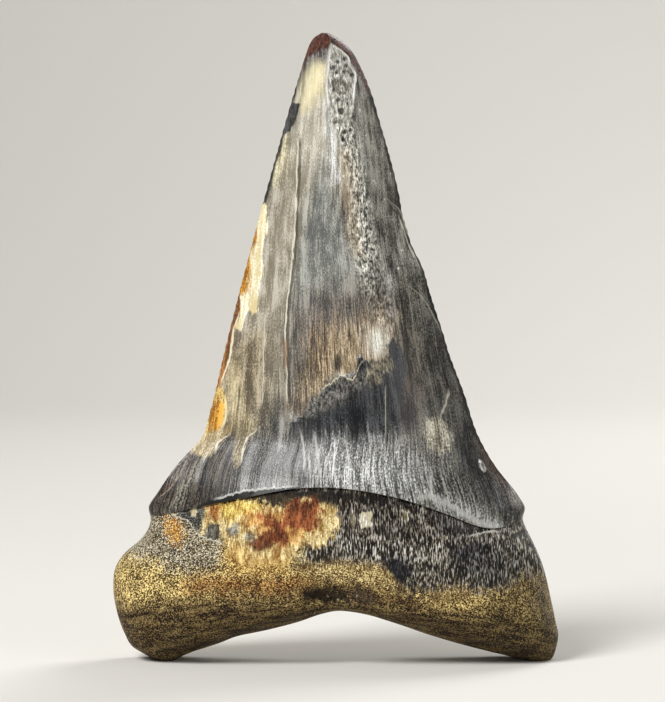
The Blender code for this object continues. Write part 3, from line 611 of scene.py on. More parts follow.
boneMarkings = {
    "darkFlank": ("#161511", "#b5b1a7", 0.55, 1.6, 0.8, 1.0, [
        (-0.1, 14.8), (6.2, 15.8), (12.9, 15.8), (17.7, 15.8), (22.1, 13.8), (20.8, 7.9), (17.9, 7.7),
        (16.8, 6.7), (13.9, 6.3), (12.4, 6.5), (9.1, 6.3), (6.7, 6.2), (5.6, 7.7), (4.3, 8.8), (0.4, 8.8),
        (-3.4, 8.6), (-3.4, 10.3)]),
    "neckBand": ("#080706", "#a19b93", 0.5, 1.0, 0.5, 0.95, [
        (-13.4, 16.4), (-9.6, 19.1), (-7.1, 19.1), (0.9, 19.1), (8.1, 19.1), (11.0, 18.7), (20.9, 17.3),
        (20.1, 12.2), (8.1, 11.5), (4.3, 10.8), (0.4, 11.5), (-0.6, 11.2), (-3.4, 15.2), (-7.1, 15.4),
        (-12.6, 14.2)]),
    "rightVeil": ("#211f1f", "#777675", 0.5, 1.0, 0.5, 0.8, [
        (9.1, 14.9), (10.2, 14.5), (11.2, 13.4), (12.7, 13.2), (14.5, 12.2), (12.9, 11.7), (11.5, 11.7),
        (10, 12.3), (9.3, 13.4)]),
    "flankBlotchA": ("#0b0b0d", "#3f3f45", 0.5, 1.0, 0.8, 1.0, [
        (4.3, 9.9), (6.2, 10.3), (7.3, 8.9), (7.0, 7.0), (5.7, 6.5), (4.5, 7.9)]),
    "flankBlotchB": ("#0b0b0d", "#3f3f45", 0.5, 1.0, 0.8, 1.0, [
        (11.0, 10.8), (13.9, 11.0), (15.5, 9.9), (15.2, 8.6), (12.9, 8.2), (11.3, 9.2)]),
    "darkWedge": ("#2e2b29", "#7e7e7d", 0.5, 0.6, 0.3, 0.85, [
        (11, 13), (12.1, 13.5), (13.3, 13.2), (14.1, 12.6), (12.9, 12.2), (11.6, 12.3)]),
    "whiteStreaks": ("#0e0b08", "#dcdad4", 0.5, 1.2, 0.6, 0.8, [
        (0.2, 11.3), (1.9, 12.1), (4.3, 11.5), (6.2, 10.8), (8.1, 10.5), (10, 10.8), (10.2, 9.8),
        (8.1, 9.2), (5.7, 9.8), (3.3, 9.4), (0.9, 9.2)]),
    "rightGrey": ("#120f0b", "#8e827a", 0.6, 1.6, 0.6, 0.7, [
        (18.7, 9.4), (20.1, 7.9), (20.9, 5.5), (21.4, 3.1), (20.4, 1.7), (19.3, 4.6), (18.4, 7)]),
    "greyShoulder": ("#1d160d", "#d1c9b1", 0.6, 1.4, 0.8, 0.95, [
        (-19.9, 15.2), (-13.1, 15.7), (-10.7, 11.2), (-10.6, 9.2), (-12.6, 8.2), (-16.0, 8.2), (-17.1, 9.4),
        (-18.8, 9.4), (-20.8, 10.3)]),
    "creamPatch": ("#7c5a1c", "#f8e9b4", 0.55, 0.4, 0.5, 1.0, [
        (-13.0, 14.7), (-12.4, 15.3), (-11.7, 15.4), (-9.7, 15.6), (-8.7, 15.9), (-7.1, 15.9), (-4.9, 15.6),
        (-2.3, 15.7), (-1.3, 15.4), (-0.5, 14.9), (0.1, 14.1), (0.2, 12.8), (-0.2, 11.5), (-0.9, 10.9),
        (-1.7, 10.5), (-2.7, 11.0), (-3.4, 10.6), (-4.1, 9.8), (-4.6, 8.8), (-6.3, 8.8), (-9.2, 8.8),
        (-10.4, 9.4), (-10.6, 10.3), (-10.4, 11.0), (-11.1, 11.2), (-12.1, 11.2), (-13.1, 12.0)]),
    "goldLow": ("#6b4512", "#ecc97c", 0.6, 0.8, 0.6, 0.8, [
        (-10.9, 10.6), (-9.8, 11.1), (-8.6, 10.1), (-7.1, 9.7), (-5.4, 10.1), (-4.4, 9.4), (-4.9, 8.2),
        (-7.1, 7.8), (-9.7, 8.1), (-10.9, 9.2)]),
    "yellowPatch": ("#7c5a1a", "#f9e27a", 0.55, 0.6, 0.4, 0.85, [
        (-11.3, 15.3), (-9.2, 15.3), (-7.1, 14.9), (-7.5, 13.8), (-8.9, 13.5), (-10.0, 13.1), (-10.9, 13.4),
        (-11.4, 14.4)]),
    "orangeVeil": ("#5e2f0c", "#e0a858", 0.55, 0.9, 0.6, 0.85, [
        (-9.2, 14.0), (-7.1, 14.2), (-4.9, 14.0), (-1.7, 15.2), (-1.3, 14.0), (-1.9, 12.3), (-3.4, 11.3),
        (-4.9, 10.3), (-7.1, 10.8), (-7.7, 12.3), (-8.9, 12.8)]),
    "neckShadow": ("#070707", "#20160d", 0.45, 0.5, 0.6, 0.95, [
        (-10.9, 15.2), (-9.2, 15.8), (-8.1, 16.2), (-6.6, 16.5), (-5.1, 16.7), (-4.2, 16.4), (-3.4, 16.3),
        (-2.3, 16.3), (-0.6, 16.2), (1.4, 16.0), (3.5, 15.7), (5.7, 15.4), (7.3, 15.1), (7.3, 14.4),
        (5.7, 14.7), (3.5, 14.7), (1.4, 14.8), (-0.1, 14.9), (-1.3, 14.7), (-2.3, 15.2), (-3.2, 15.3),
        (-3.7, 14.9), (-4.9, 14.6), (-5.7, 14.4), (-6.5, 14.8), (-7.5, 15.1), (-8.4, 15.2), (-9.4, 15.2),
        (-10.6, 14.8)]),
    "blackLobe": ("#0c0b08", "#6c6e6c", 0.35, 0.3, 0.3, 0.95, [
        (-15.4, 13.8), (-15.2, 14.9), (-14, 15.3), (-12.7, 15.3), (-12.7, 13.2), (-13.2, 12),
        (-13.7, 12.5), (-14.2, 13.1), (-14.9, 13.4)]),
    "creamSpike": ("#c2b387", "#e3dbc4", 0.5, 0.15, 0.15, 0.95, [
        (-13.6, 15), (-13.4, 14.1), (-13.4, 13.4), (-13.9, 13.6), (-13.9, 14.2)]),
    "maroonRight": ("#2a0e06", "#a2582e", 0.5, 0.5, 0.5, 0.95, [
        (-4.8, 14.5), (-4.2, 15.2), (-3.2, 15.1), (-2.3, 15.3), (-1.7, 15.0), (-1.5, 14.0), (-1.9, 12.8),
        (-2.4, 12.0), (-3.2, 12.5), (-3.9, 12.2), (-4.6, 12.4), (-4.7, 11.3), (-4.8, 10.7), (-5.7, 10.7),
        (-6.3, 11.2), (-6.8, 11.7), (-6.1, 12.3), (-7.1, 12.8), (-7.5, 13.8), (-6.5, 13.6), (-5.7, 13.1),
        (-5.0, 13.4)]),
    "maroonLow": ("#200903", "#7a3e19", 0.5, 0.4, 0.3, 0.95, [
        (-8.4, 10.9), (-7.7, 10.2), (-6.5, 10.3), (-5.4, 11.2), (-4.9, 12.2), (-5.7, 12.6), (-7.0, 11.8),
        (-8.2, 11.4)]),
    "brownSpot": ("#2a1004", "#b87f40", 0.5, 0.5, 0.3, 1.0, [
        (-12.3, 15.0), (-11.6, 14.8), (-11.1, 14.2), (-11.3, 13.2), (-12.0, 13.1), (-12.2, 14.0)]),
    "islandA": ("#1a1a16", "#6c6c69", 0.5, 0.3, 0.3, 0.95, [
        (-12.4, 12.6), (-11.9, 13.0), (-11.2, 12.7), (-11.1, 11.9), (-10.8, 11.3), (-11.9, 11.0),
        (-12.7, 11.8)]),
    "islandB": ("#2f2e26", "#9f9c92", 0.5, 0.3, 0.25, 0.95, [
        (-10.6, 12.5), (-10.0, 12.7), (-9.5, 12.9), (-9.3, 12.3), (-9.6, 11.5), (-10.2, 11.6)]),
    "islandC": ("#22251e", "#7d8389", 0.5, 0.3, 0.25, 0.7, [
        (-8.8, 11.9), (-8.4, 12.3), (-8.1, 12.0), (-7.7, 11.7), (-8.1, 11.1), (-8.7, 11.3)]),
    "orangeStain": ("#8a5216", "#efbb57", 0.6, 0.9, 0.6, 0.85, [
        (-16.4, 13.2), (-15.7, 13.6), (-15.0, 12.9), (-14.7, 11.6), (-15.1, 10.8), (-15.9, 11.2),
        (-16.3, 12.2)]),
    "paleSpotA": ("#c3ba9a", "#f9f9f9", 0.5, 0.2, 0.2, 1.0, [
        (2.3, 14.1), (3.5, 14.0), (3.5, 12.5), (2.4, 12.4)]),
    "paleSpotB": ("#797152", "#f9f9f9", 0.5, 0.25, 0.2, 0.9, [
        (6.5, 14.1), (7.1, 14.1), (7.0, 13.2), (6.6, 13.0)]),
    "paleSpotC": ("#797159", "#f9f9f9", 0.5, 0.2, 0.15, 0.9, [
        (1.5, 14.2), (1.8, 14.2), (1.9, 12.7), (1.5, 12.5)]),
    "blackFlank": ("#070707", "#929393", 0.55, 1.4, 0.8, 0.75, [
        (12.0, 10.2), (15.8, 10.5), (18.1, 9.4), (17.9, 7.8), (16.6, 6.7), (13.9, 6.5), (12.7, 7.9),
        (11.2, 8.8)]),
    "yellowBand": ("#4f330c", "#f2dfa2", 0.6, 0.9, 0.6, 0.9, [
        (-3.4, 8.8), (0.4, 9.0), (4.3, 8.6), (5.6, 7.7), (6.2, 6.5), (4.7, 6.7), (0.4, 7.3), (-3.4, 7.7)]),
    "redBand": ("#120703", "#7a5c38", 0.65, 1.2, 0.7, 0.8, [
        (-14.5, 7.3), (-13.1, 7.7), (-7.3, 7.5), (-0.6, 7.5), (6.2, 6.3), (8.6, 5.3), (8.1, 4.4),
        (4.3, 5.0), (0.9, 5.5), (-3.4, 5.5), (-8.3, 5.5), (-14.0, 6.1)]),
    "yellowSpot": ("#3f280c", "#b09b66", 0.6, 0.7, 0.4, 0.8, [
        (9.1, 5.9), (11.0, 6.5), (12.9, 6.3), (12.7, 5.5), (11.0, 5.0), (9.3, 5.0)]),
    # Partly the root's own brown, partly painted shade: the underside is painted darker, as it faces away
    # from the light.
    "shadedUnderside": ("#060302", "#6b5535", 0.7, 1.6, 0.4, 0.85, [
        (-21.5, 5.0), (-17.9, 5.2), (-14.0, 5.6), (-3.4, 5.5), (0.9, 5.5), (6.2, 5.0), (10.0, 4.6),
        (15.8, 4.1), (21.6, 2.4), (25.0, -6.1), (-25.7, -6.1)]),
    "rightShade": ("#130c05", "#76653f", 0.65, 2.5, 0.6, 0.7, [
        (14.7, 5.5), (16.8, 7.3), (19.7, 7.9), (21.2, 5.5), (22.0, 0.7), (20.6, -1.0), (15.8, 0.2),
        (12.9, 2.5)]),
    # Painted shade: dark strips along the root's lower edge, where it turns under.
    "archEdgeShade": ("#120b04", "#4e3e29", 0.6, 0.5, 0.3, 0.75, [
        (-15.2, 0.9), (-13.1, 1.5), (-10.7, 2.3), (-8.3, 3), (-5.4, 3.8), (-3, 4.5), (-0.6, 5.2),
        (-0.4, 4.9), (-2.9, 4.1), (-5.3, 3.4), (-8.2, 2.6), (-10.6, 1.8), (-13, 1), (-15.1, 0.4)]),
    "rightEdgeShade": ("#160e06", "#4a3c25", 0.6, 0.5, 0.3, 0.6, [
        (6.2, 4.5), (9.1, 3.4), (12.9, 2.3), (16.8, 1.3), (20.4, 0.5), (20.4, 0), (16.6, 0.8), (12.7, 1.8),
        (8.9, 2.9), (6, 4)]),
    "redFringe": ("#4a2308", "#ecb86c", 0.6, 1.4, 0.8, 0.7, [
        (-15.0, 6.7), (-13.1, 7.7), (-10.9, 7.8), (-9.2, 7.9), (-7.8, 7.5), (-5.6, 7.5), (-3.4, 7.9),
        (-2.5, 7.4), (-3.4, 6.6), (-5.4, 6.4), (-7.8, 6.3), (-10.2, 6.4), (-12.6, 6.5), (-14.5, 6.2)]),
    "hub": ("#0f0a06", "#5e4e3a", 0.6, 0.6, 0.4, 0.85, [
        (1, 6.7), (2.3, 6.8), (3.7, 6.1), (3.9, 5.1), (2.5, 5), (1.2, 5.2)]),
    "foramen": ("#070707", "#2c2112", 0.7, 0.8, 0.4, 0.9, [
        (-3.2, 6.5), (-1.3, 6.8), (0.9, 6.5), (1.6, 5.7), (0.4, 5.2), (-2.0, 5.3), (-3.2, 5.7)]),
    "foramenPits": ("#070403", "#1d130a", 0.7, 0.12, 0.1, 0.9, [
        (-2.86, 6.11, 0.19), (-2.19, 5.82, 0.15), (-1.32, 6.21, 0.17), (-0.46, 5.73, 0.15),
        (0.7, 6.11, 0.19), (1.56, 5.82, 0.17)]),
    "foramenSpecks": ("#7d745f", "#d3cab2", 0.6, 0.12, 0.1, 0.85, [
        (-1.71, 5.44, 0.13), (-0.84, 5.92, 0.12), (0.22, 5.53, 0.12), (1.18, 6.5, 0.11),
        (2.04, 5.92, 0.12)]),
}


# The lip side isn't as strongly marked. These outlines are plain x and height.
lipEnamelMarkings = {
    "lipPale": ("#5a554c", "#a8a192", 0.34, 5.0, 1.0, 0.9, [
        (-5.5, 48.0), (-2.5, 54.0), (-0.5, 50.0), (1.0, 36.0), (0.5, 24.0), (-5.0, 19.0), (-8.5, 22.0),
        (-8.0, 34.0)]),
    "lipStain": ("#33261d", "#80664d", 0.36, 4.0, 1.0, 0.8, [
        (2.5, 40.0), (4.5, 39.0), (8.0, 29.0), (9.5, 20.0), (3.5, 19.0), (2.5, 28.0)]),
    "lipCream": ("#8f7f62", "#d8cba9", 0.42, 1.6, 1.0, 0.9, [
        (-9.8, 34.0), (-6.5, 33.0), (-6.0, 27.5), (-7.5, 24.0), (-10.8, 25.5), (-11.2, 30.0)]),
    "lipDark": ("#141519", "#56575a", 0.3, 2.5, 1.0, 0.9, [
        (-3.5, 25.0), (3.0, 27.5), (8.5, 24.0), (10.5, 19.5), (2.0, 20.0), (-4.5, 20.5)]),
    "lipFoot": ("#1d1e1f", "#a3a29c", 0.3, 3.0, 1.0, 0.8, [
        (-16.0, 16.0), (-8.0, 17.5), (0.0, 18.5), (8.0, 17.5), (15.0, 15.5), (17.0, 12.0), (8.0, 11.5),
        (0.0, 12.5), (-8.0, 11.5), (-17.0, 12.0)]),
}

lipBoneMarkings = {
    "lipNeck": ("#161311", "#7a7164", 0.5, 2.5, 0.9, 0.9, [
        (-18.5, 15.5), (0.0, 16.5), (18.5, 15.5), (19.5, 10.5), (8.0, 9.5), (0.0, 10.5), (-8.0, 9.5),
        (-19.5, 10.5)]),
    "lipAmber": ("#5d3516", "#c79348", 0.6, 2.2, 0.9, 0.7, [
        (-12.5, 9.0), (-4.0, 10.0), (-3.0, 7.0), (-8.0, 5.5), (-13.0, 6.0)]),
    "lipGrey": ("#37322a", "#9a9080", 0.6, 2.5, 0.9, 0.7, [
        (11.5, 9.5), (17.5, 9.0), (19.5, 4.5), (15.0, 3.0), (11.0, 6.0)]),
    "lipCreamPatch": ("#8f6f38", "#f0e0b4", 0.55, 1.0, 0.8, 0.9, [
        (-14.5, 11.5), (-8.5, 12.0), (-4.5, 11.0), (-6.0, 8.5), (-11.0, 8.0), (-15.0, 9.0)]),
    "lipUnder": ("#120c06", "#6a5732", 0.7, 2.0, 0.6, 0.8, [
        (-21.0, 3.5), (-12.0, 5.0), (0.0, 6.8), (12.0, 4.5), (21.5, 2.5), (24.0, -5.0), (-24.0, -5.0)]),
}

allMarkings = {**enamelMarkings, **edgeMarkings, **boneMarkings}

# Cracks and scratches: colour, half width, how ragged, cover, and points from one end to the other.
enamelLines = {
    "longCrack": ("#dcd5c2", 0.06, 0.12, 0.85, [
        (-3.6, 50.2), (-3.8, 44.0), (-4.2, 38.0), (-4.8, 32.6), (-4.8, 29.0), (-4.6, 24.4)]),
    "longCrackShade": ("#2a241d", 0.11, 0.12, 0.75, [
        (-3.4, 50.2), (-3.6, 44.0), (-4.0, 38.0), (-4.6, 32.6), (-4.6, 29.0), (-4.4, 24.4)]),
    "secondCrack": ("#d0c8b4", 0.05, 0.12, 0.7, [(-6.8, 33.4), (-6.9, 29.0), (-7.1, 23.9)]),
    "crackStain": ("#6b4a22", 0.2, 0.15, 0.7, [(-4.9, 31.0), (-4.8, 29.6), (-4.9, 27.5)]),
    "shortCrack": ("#33281e", 0.08, 0.1, 0.8, [(-9.2, 26.6), (-9.5, 23.2)]),
    "rustEdge": ("#e8dfc4", 0.08, 0.12, 0.85, [
        (-9.12, 33.44), (-9.6, 32.29), (-9.82, 31.52), (-9.98, 30.36), (-10.12, 29.21),
        (-10.37, 28.24), (-10.72, 27.28), (-10.95, 26.7), (-11.14, 26.03)]),
    "amberRim": ("#eee0b0", 0.1, 0.08, 0.75, [
        (-10.75, 25.36), (-10.56, 24.39), (-10.56, 23.43), (-10.75, 22.57), (-11.04, 21.8)]),
    "darkHair": ("#3c3b38", 0.06, 0.08, 0.7, [(-1.7, 43.0), (-1.7, 38.5)]),
    "brownHair": ("#5a463a", 0.09, 0.12, 0.6, [(1.1, 45.4), (1.0, 39.5)]),
    "paleHair": ("#a9a498", 0.05, 0.06, 0.7, [(4.8, 26.3), (4.8, 20.9)]),
    "rightCrack": ("#bcb6a6", 0.09, 0.15, 0.85, [(10.9, 26.0), (10.6, 24.6), (10.0, 22.9)]),
    "lowScratch": ("#aaa595", 0.06, 0.05, 0.7, [
        (6.2, 36.2), (7.4, 35.5), (8.5, 34.4), (9.6, 32.5), (10.2, 31.2)]),
    "highScratch": ("#b5b1a3", 0.06, 0.05, 0.75, [
        (4.9, 44.2), (6.0, 43.2), (6.6, 41.7), (7.4, 39.7), (8.3, 37.9)]),
    "levelScratch": ("#aaa698", 0.05, 0.08, 0.6, [(4.0, 42.5), (5.8, 42.4)]),
    "slantScratch": ("#a39f92", 0.05, 0.08, 0.6, [(4.5, 44.8), (5.4, 43.6), (6.2, 42.6)]),
    "lobeRimA": ("#e6e0cf", 0.07, 0.14, 0.85, [
        (-10.03, 21.8), (-10.27, 21.41), (-10.75, 21.12), (-11.14, 20.83), (-11.43, 20.26), (-11.76, 19.49)]),
    "lobeRimB": ("#ddd7c6", 0.07, 0.14, 0.8, [
        (-7.58, 22.28), (-7.77, 21.7), (-8.35, 21.36), (-8.68, 20.83), (-8.93, 19.97), (-9.12, 19.01),
        (-9.31, 18.33)]),
    # Painted highlights: white upright streaks on the crown's foot, where it catches the light.
    "glintStreakA": ("#c9c9c7", 0.09, 0.06, 0.8, [
        (-2.57, 19.78), (-2.57, 18.72), (-2.48, 17.56)]),
    "glintStreakB": ("#e6e6e4", 0.07, 0.1, 0.8, [
        (-0.07, 21.22), (-0.17, 19.49), (-0.26, 17.27)]),
    "glintStreakC": ("#dcdcda", 0.07, 0.12, 0.7, [
        (0.99, 20.93), (1.18, 19.49), (1.28, 17.08)]),
    "glintStreakD": ("#b9b8b4", 0.12, 0.08, 0.6, [
        (-2.09, 21.89), (-1.8, 19.97), (-1.42, 16.6)]),
    "glintStreakE": ("#a8a7a2", 0.13, 0.08, 0.6, [
        (-5.17, 23.62), (-5.27, 21.41), (-5.56, 19.49)]),
    "glintStreakF": ("#bdbcb8", 0.09, 0.08, 0.6, [
        (-3.44, 22.08), (-3.06, 19.97), (-2.96, 17.85)]),
    "glintStreakG": ("#c6c5c1", 0.1, 0.06, 0.6, [
        (9.07, 18.04), (9.17, 16.6), (9.26, 15.16)]),
    "flangeHairA": ("#b9ae9d", 0.06, 0.2, 0.6, [
        (-16.43, 17.08), (-15.57, 18.04), (-14.6, 19.1), (-13.74, 19.97)]),
    "flangeHairB": ("#a89d8e", 0.06, 0.2, 0.6, [
        (-17.59, 14.96), (-16.53, 15.73), (-15.57, 16.79), (-14.6, 18.33)]),
    "rimShade": ("#0d0c0a", 0.27, 0.15, 0.95, [
        (-13.06, 14.72), (-11.91, 14.87), (-10.75, 15.2), (-9.7, 15.44), (-8.64, 15.69),
        (-7.58, 15.85), (-6.52, 16.02), (-5.56, 16.14), (-4.59, 16.23), (-3.54, 16.36)]),
    # Painted highlight: a white line along the enamel's lower edge on the left.
    "collarHighlight": ("#d4d3cd", 0.09, 0.14, 0.6, [
        (-11.91, 15.2), (-10.75, 15.48), (-9.7, 15.81), (-8.64, 16.04), (-7.58, 16.16), (-6.52, 16.29),
        (-5.56, 16.35), (-4.59, 16.43), (-3.73, 16.46)]),
    "scarRimLeft": ("#e9e7e1", 0.1, 0.05, 0.95, [
        (-0.51, 59.13), (-0.65, 57.98), (-0.79, 56.54), (-0.89, 55.09), (-0.75, 53.84), (-0.55, 52.69)]),
    "scarRimRight": ("#e2e0da", 0.09, 0.06, 0.9, [
        (-0.51, 59.13), (0.41, 58.46), (1.08, 57.88), (1.37, 56.92), (1.85, 56.25), (1.76, 54.8),
        (1.66, 53.17)]),
    "edgeLine": ("#cdc8b4", 0.06, 0.1, 0.85, [
        (5.94, 42.77), (6.47, 41.33), (7.05, 39.69), (7.63, 38.44), (8.25, 37.19)]),
    "haloLine": ("#cfc6a4", 0.07, 0.22, 0.7, [
        (-1.71, 25.36), (-0.94, 26.13), (-0.07, 26.7), (0.41, 27.09), (1.37, 26.8), (1.95, 27.09),
        (2.24, 28.05), (2.91, 28.63)]),
    # Painted highlight along the enamel's lower edge on the right.
    "rightLipHighlightLine": ("#b4b3ad", 0.28, 0.3, 0.6, [
        (7.39, 15.4), (10.03, 15.2), (11.96, 14.0), (13.88, 13.0), (15.8, 12.6)]),
    "curlLine": ("#c9b9a4", 0.08, 0.1, 0.8, [
        (16.86, 12.85), (17.35, 12.27), (17.15, 11.6)]),
}

lipLines = {
    "lipCrack": ("#c9c2b0", 0.06, 0.14, 0.75, [
        (-3.0, 47.5), (-2.6, 41.0), (-3.1, 34.0), (-2.7, 27.0), (-3.0, 22.5)]),
    "lipHair": ("#2b251e", 0.07, 0.14, 0.7, [(3.4, 38.0), (3.9, 31.0), (3.7, 25.5)]),
    "lipScratch": ("#b3ae9f", 0.05, 0.08, 0.6, [(0.5, 33.5), (2.8, 31.8), (5.5, 31.0)]),
}

boneLines = {
    "leftSeam": ("#d9d4c4", 0.06, 0.16, 0.75, [
        (-17.59, 13.52), (-16.91, 14), (-16.24, 14.1), (-15.57, 13.62), (-14.89, 13.42), (-14.22, 13.14),
        (-13.74, 12.46), (-13.26, 11.88), (-12, 11.31), (-10.47, 10.92)]),
    "rightSeam": ("#c9c6bd", 0.09, 0.12, 0.75, [
        (12.53, 11.6), (13.69, 11.88), (14.84, 12.08), (16.19, 12.17)]),
}


def lineValues(points, line):
    # How far each point is to one side of a line, and how far beyond its ends. Both change smoothly.
    marks = np.array(line)
    running = int(np.ptp(marks[:, 1]) > np.ptp(marks[:, 0]))
    marks = marks[np.argsort(marks[:, running])]
    along = points[:, running]
    offset = points[:, 1 - running] - smoothCurve(marks[:, [running, 1 - running]], along)
    beyond = np.maximum(marks[0, running] - along, along - marks[-1, running])
    return offset, beyond


def signedDistance(points, outline):
    # Distance in millimetres to a closed outline, positive inside.
    corners = np.array(outline)
    nearest = np.full(len(points), np.inf)
    crossings = np.zeros(len(points), int)
    for start, end in zip(corners, np.roll(corners, -1, axis=0)):
        along = end - start
        share = np.clip(((points - start) @ along) / (along @ along), 0, 1)
        gap = points - start - share[:, None] * along
        nearest = np.minimum(nearest, np.hypot(gap[:, 0], gap[:, 1]))
        spans = (start[1] > points[:, 1]) != (end[1] > points[:, 1])
        reach = start[0] + (points[:, 1] - start[1]) / (along[1] or 1e-9) * along[0]
        crossings += spans & (points[:, 0] < reach)
    return np.where(crossings % 2 == 1, nearest, -nearest)


def markingDistance(points, outline):
    # The same for any marking: a closed outline, or spots given as x, height and radius.
    if len(outline[0]) == 2:
        return signedDistance(points, outline)
    return np.max([radius - np.hypot(points[:, 0] - x, points[:, 1] - z) for x, z, radius in outline], axis=0)


def linear(hexColour):
    # sRGB hex to the linear values that shaders use.
    channels = [int(hexColour[i:i + 2], 16) / 255 for i in (1, 3, 5)]
    return tuple(c / 12.92 if c <= 0.04045 else ((c + 0.055) / 1.055) ** 2.4 for c in channels) + (1.0,)


def addNode(tree, kind, settings, inputs, output=0):
    # Adds one node with its settings, links or sets its inputs, and returns the output asked for.
    node = tree.nodes.new("ShaderNode" + kind)
    for name, value in settings.items():
        setattr(node, name, value)
    for key, value in inputs.items():
        if isinstance(value, bpy.types.NodeSocket):
            tree.links.new(value, node.inputs[key])
        else:
            node.inputs[key].default_value = value
    return node.outputs[output]


def newMaterial(name):
    material = bpy.data.materials.new(name)
    material.use_nodes = True
    tree = material.node_tree
    return material, tree, tree.nodes["Principled BSDF"]


def addPatterns(tree, place, look):
    # A material's patterns. Each is a weighted sum of grains, spread from 0 at one value to 1 at another,
    # but the wobble of the borders runs from -1 to 1.
    grains = {}
    for name, (across, up, deep, detail) in look["grains"].items():
        inputs = {0: place, 1: (1 / across, 1 / deep, 1 / up)}
        drawn = addNode(tree, "VectorMath", {"operation": "MULTIPLY"}, inputs)
        inputs = {"Vector": drawn, "Scale": 1.0, "Detail": detail, "Roughness": 0.6}
        grains[name] = addNode(tree, "TexNoise", {}, inputs)
    patterns = {}
    for name, (low, high, weights) in look["patterns"].items():
        total = 0.0
        for grain, weight in weights.items():
            inputs = {0: grains[grain], 1: weight, 2: total}
            total = addNode(tree, "Math", {"operation": "MULTIPLY_ADD"}, inputs)
        patterns[name] = addNode(tree, "MapRange", {}, {0: total, 1: low, 2: high})
    patterns["wobble"] = addNode(tree, "MapRange", {}, {0: patterns["wobble"], 3: -1.0})
    return patterns


def strongest(tree, shares, names):
    # The greatest of several markings' shares or patterns.
    result = 0.0
    for name in names:
        result = addNode(tree, "Math", {"operation": "MAXIMUM"}, {0: shares[name], 1: result})
    return result


def layColours(tree, colours, share, hexColours):
    # Lays a dark and a light colour over those so far, as far as the share covers them.
    return [addNode(tree, "Mix", {"data_type": "RGBA"}, {0: share, 6: below, 7: linear(above)}, 2)
            for below, above in zip(colours, hexColours)]


def layMarkings(tree, colours, roughness, markings, wobble):
    # Lays each marking over the colours and roughness so far. Its border wobbles.
    shares = {}
    for name, (dark, light, rough, soft, ragged, cover, _) in markings.items():
        distance = addNode(tree, "Attribute", {"attribute_name": name}, {}, "Fac")
        reach = addNode(tree, "Math", {"operation": "MULTIPLY_ADD"}, {0: wobble, 1: ragged, 2: distance})
        share = addNode(tree, "MapRange", {}, {0: reach, 1: -soft / 2, 2: soft / 2, 4: cover})
        colours = layColours(tree, colours, share, (dark, light))
        roughness = addNode(tree, "Mix", {}, {0: share, 2: roughness, 3: rough})
        shares[name] = share
    return colours, roughness, shares


lineBorder = {
    "outer": 1.6,      # half widths from its middle at which a line starts
    "inner": 0.6,      # and at which it is whole
    "endFade": 0.8,    # millimetres over which it starts at its ends
}


def drawLines(tree, colours, lines, wobble):
    # Draws each crack or scratch over the colours so far, fading out at its ends.
    for name, (lineHex, halfWidth, ragged, cover, _) in lines.items():
        vector = addNode(tree, "Attribute", {"attribute_name": name}, {}, "Vector")
        offset = addNode(tree, "SeparateXYZ", {}, {0: vector}, "X")
        beyond = addNode(tree, "SeparateXYZ", {}, {0: vector}, "Y")
        offset = addNode(tree, "Math", {"operation": "MULTIPLY_ADD"}, {0: wobble, 1: ragged, 2: offset})
        offset = addNode(tree, "Math", {"operation": "ABSOLUTE"}, {0: offset})
        near = addNode(tree, "MapRange", {}, {
            0: offset, 1: lineBorder["outer"] * halfWidth, 2: lineBorder["inner"] * halfWidth, 4: cover})
        inside = addNode(tree, "MapRange", {}, {0: beyond, 1: 0.0, 2: -lineBorder["endFade"]})
        share = addNode(tree, "Math", {"operation": "MULTIPLY"}, {0: near, 1: inside})
        colours = layColours(tree, colours, share, (lineHex, lineHex))
    return colours


def finishMaterial(tree, shader, look, colours, roughness, pattern, height):
    # Joins the colours by the pattern and presses the height into the surface.
    dark, light = colours
    steps = [addNode(tree, "Math", {"operation": "POWER"}, {0: pattern, 1: power})
             for power in look["powers"]]
    share = addNode(tree, "CombineXYZ", {}, dict(enumerate(steps)))
    colour = addNode(tree, "Mix", {"data_type": "VECTOR", "factor_mode": "NON_UNIFORM"},
                     {1: share, 4: dark, 5: light}, 1)
    tree.links.new(colour, shader.inputs["Base Color"])
    tree.links.new(roughness, shader.inputs["Roughness"])
    normal = addNode(tree, "Bump", {}, {
        "Strength": look["bumpStrength"], "Distance": look["bumpHeight"] * mm, "Height": height})
    tree.links.new(normal, shader.inputs["Normal"])


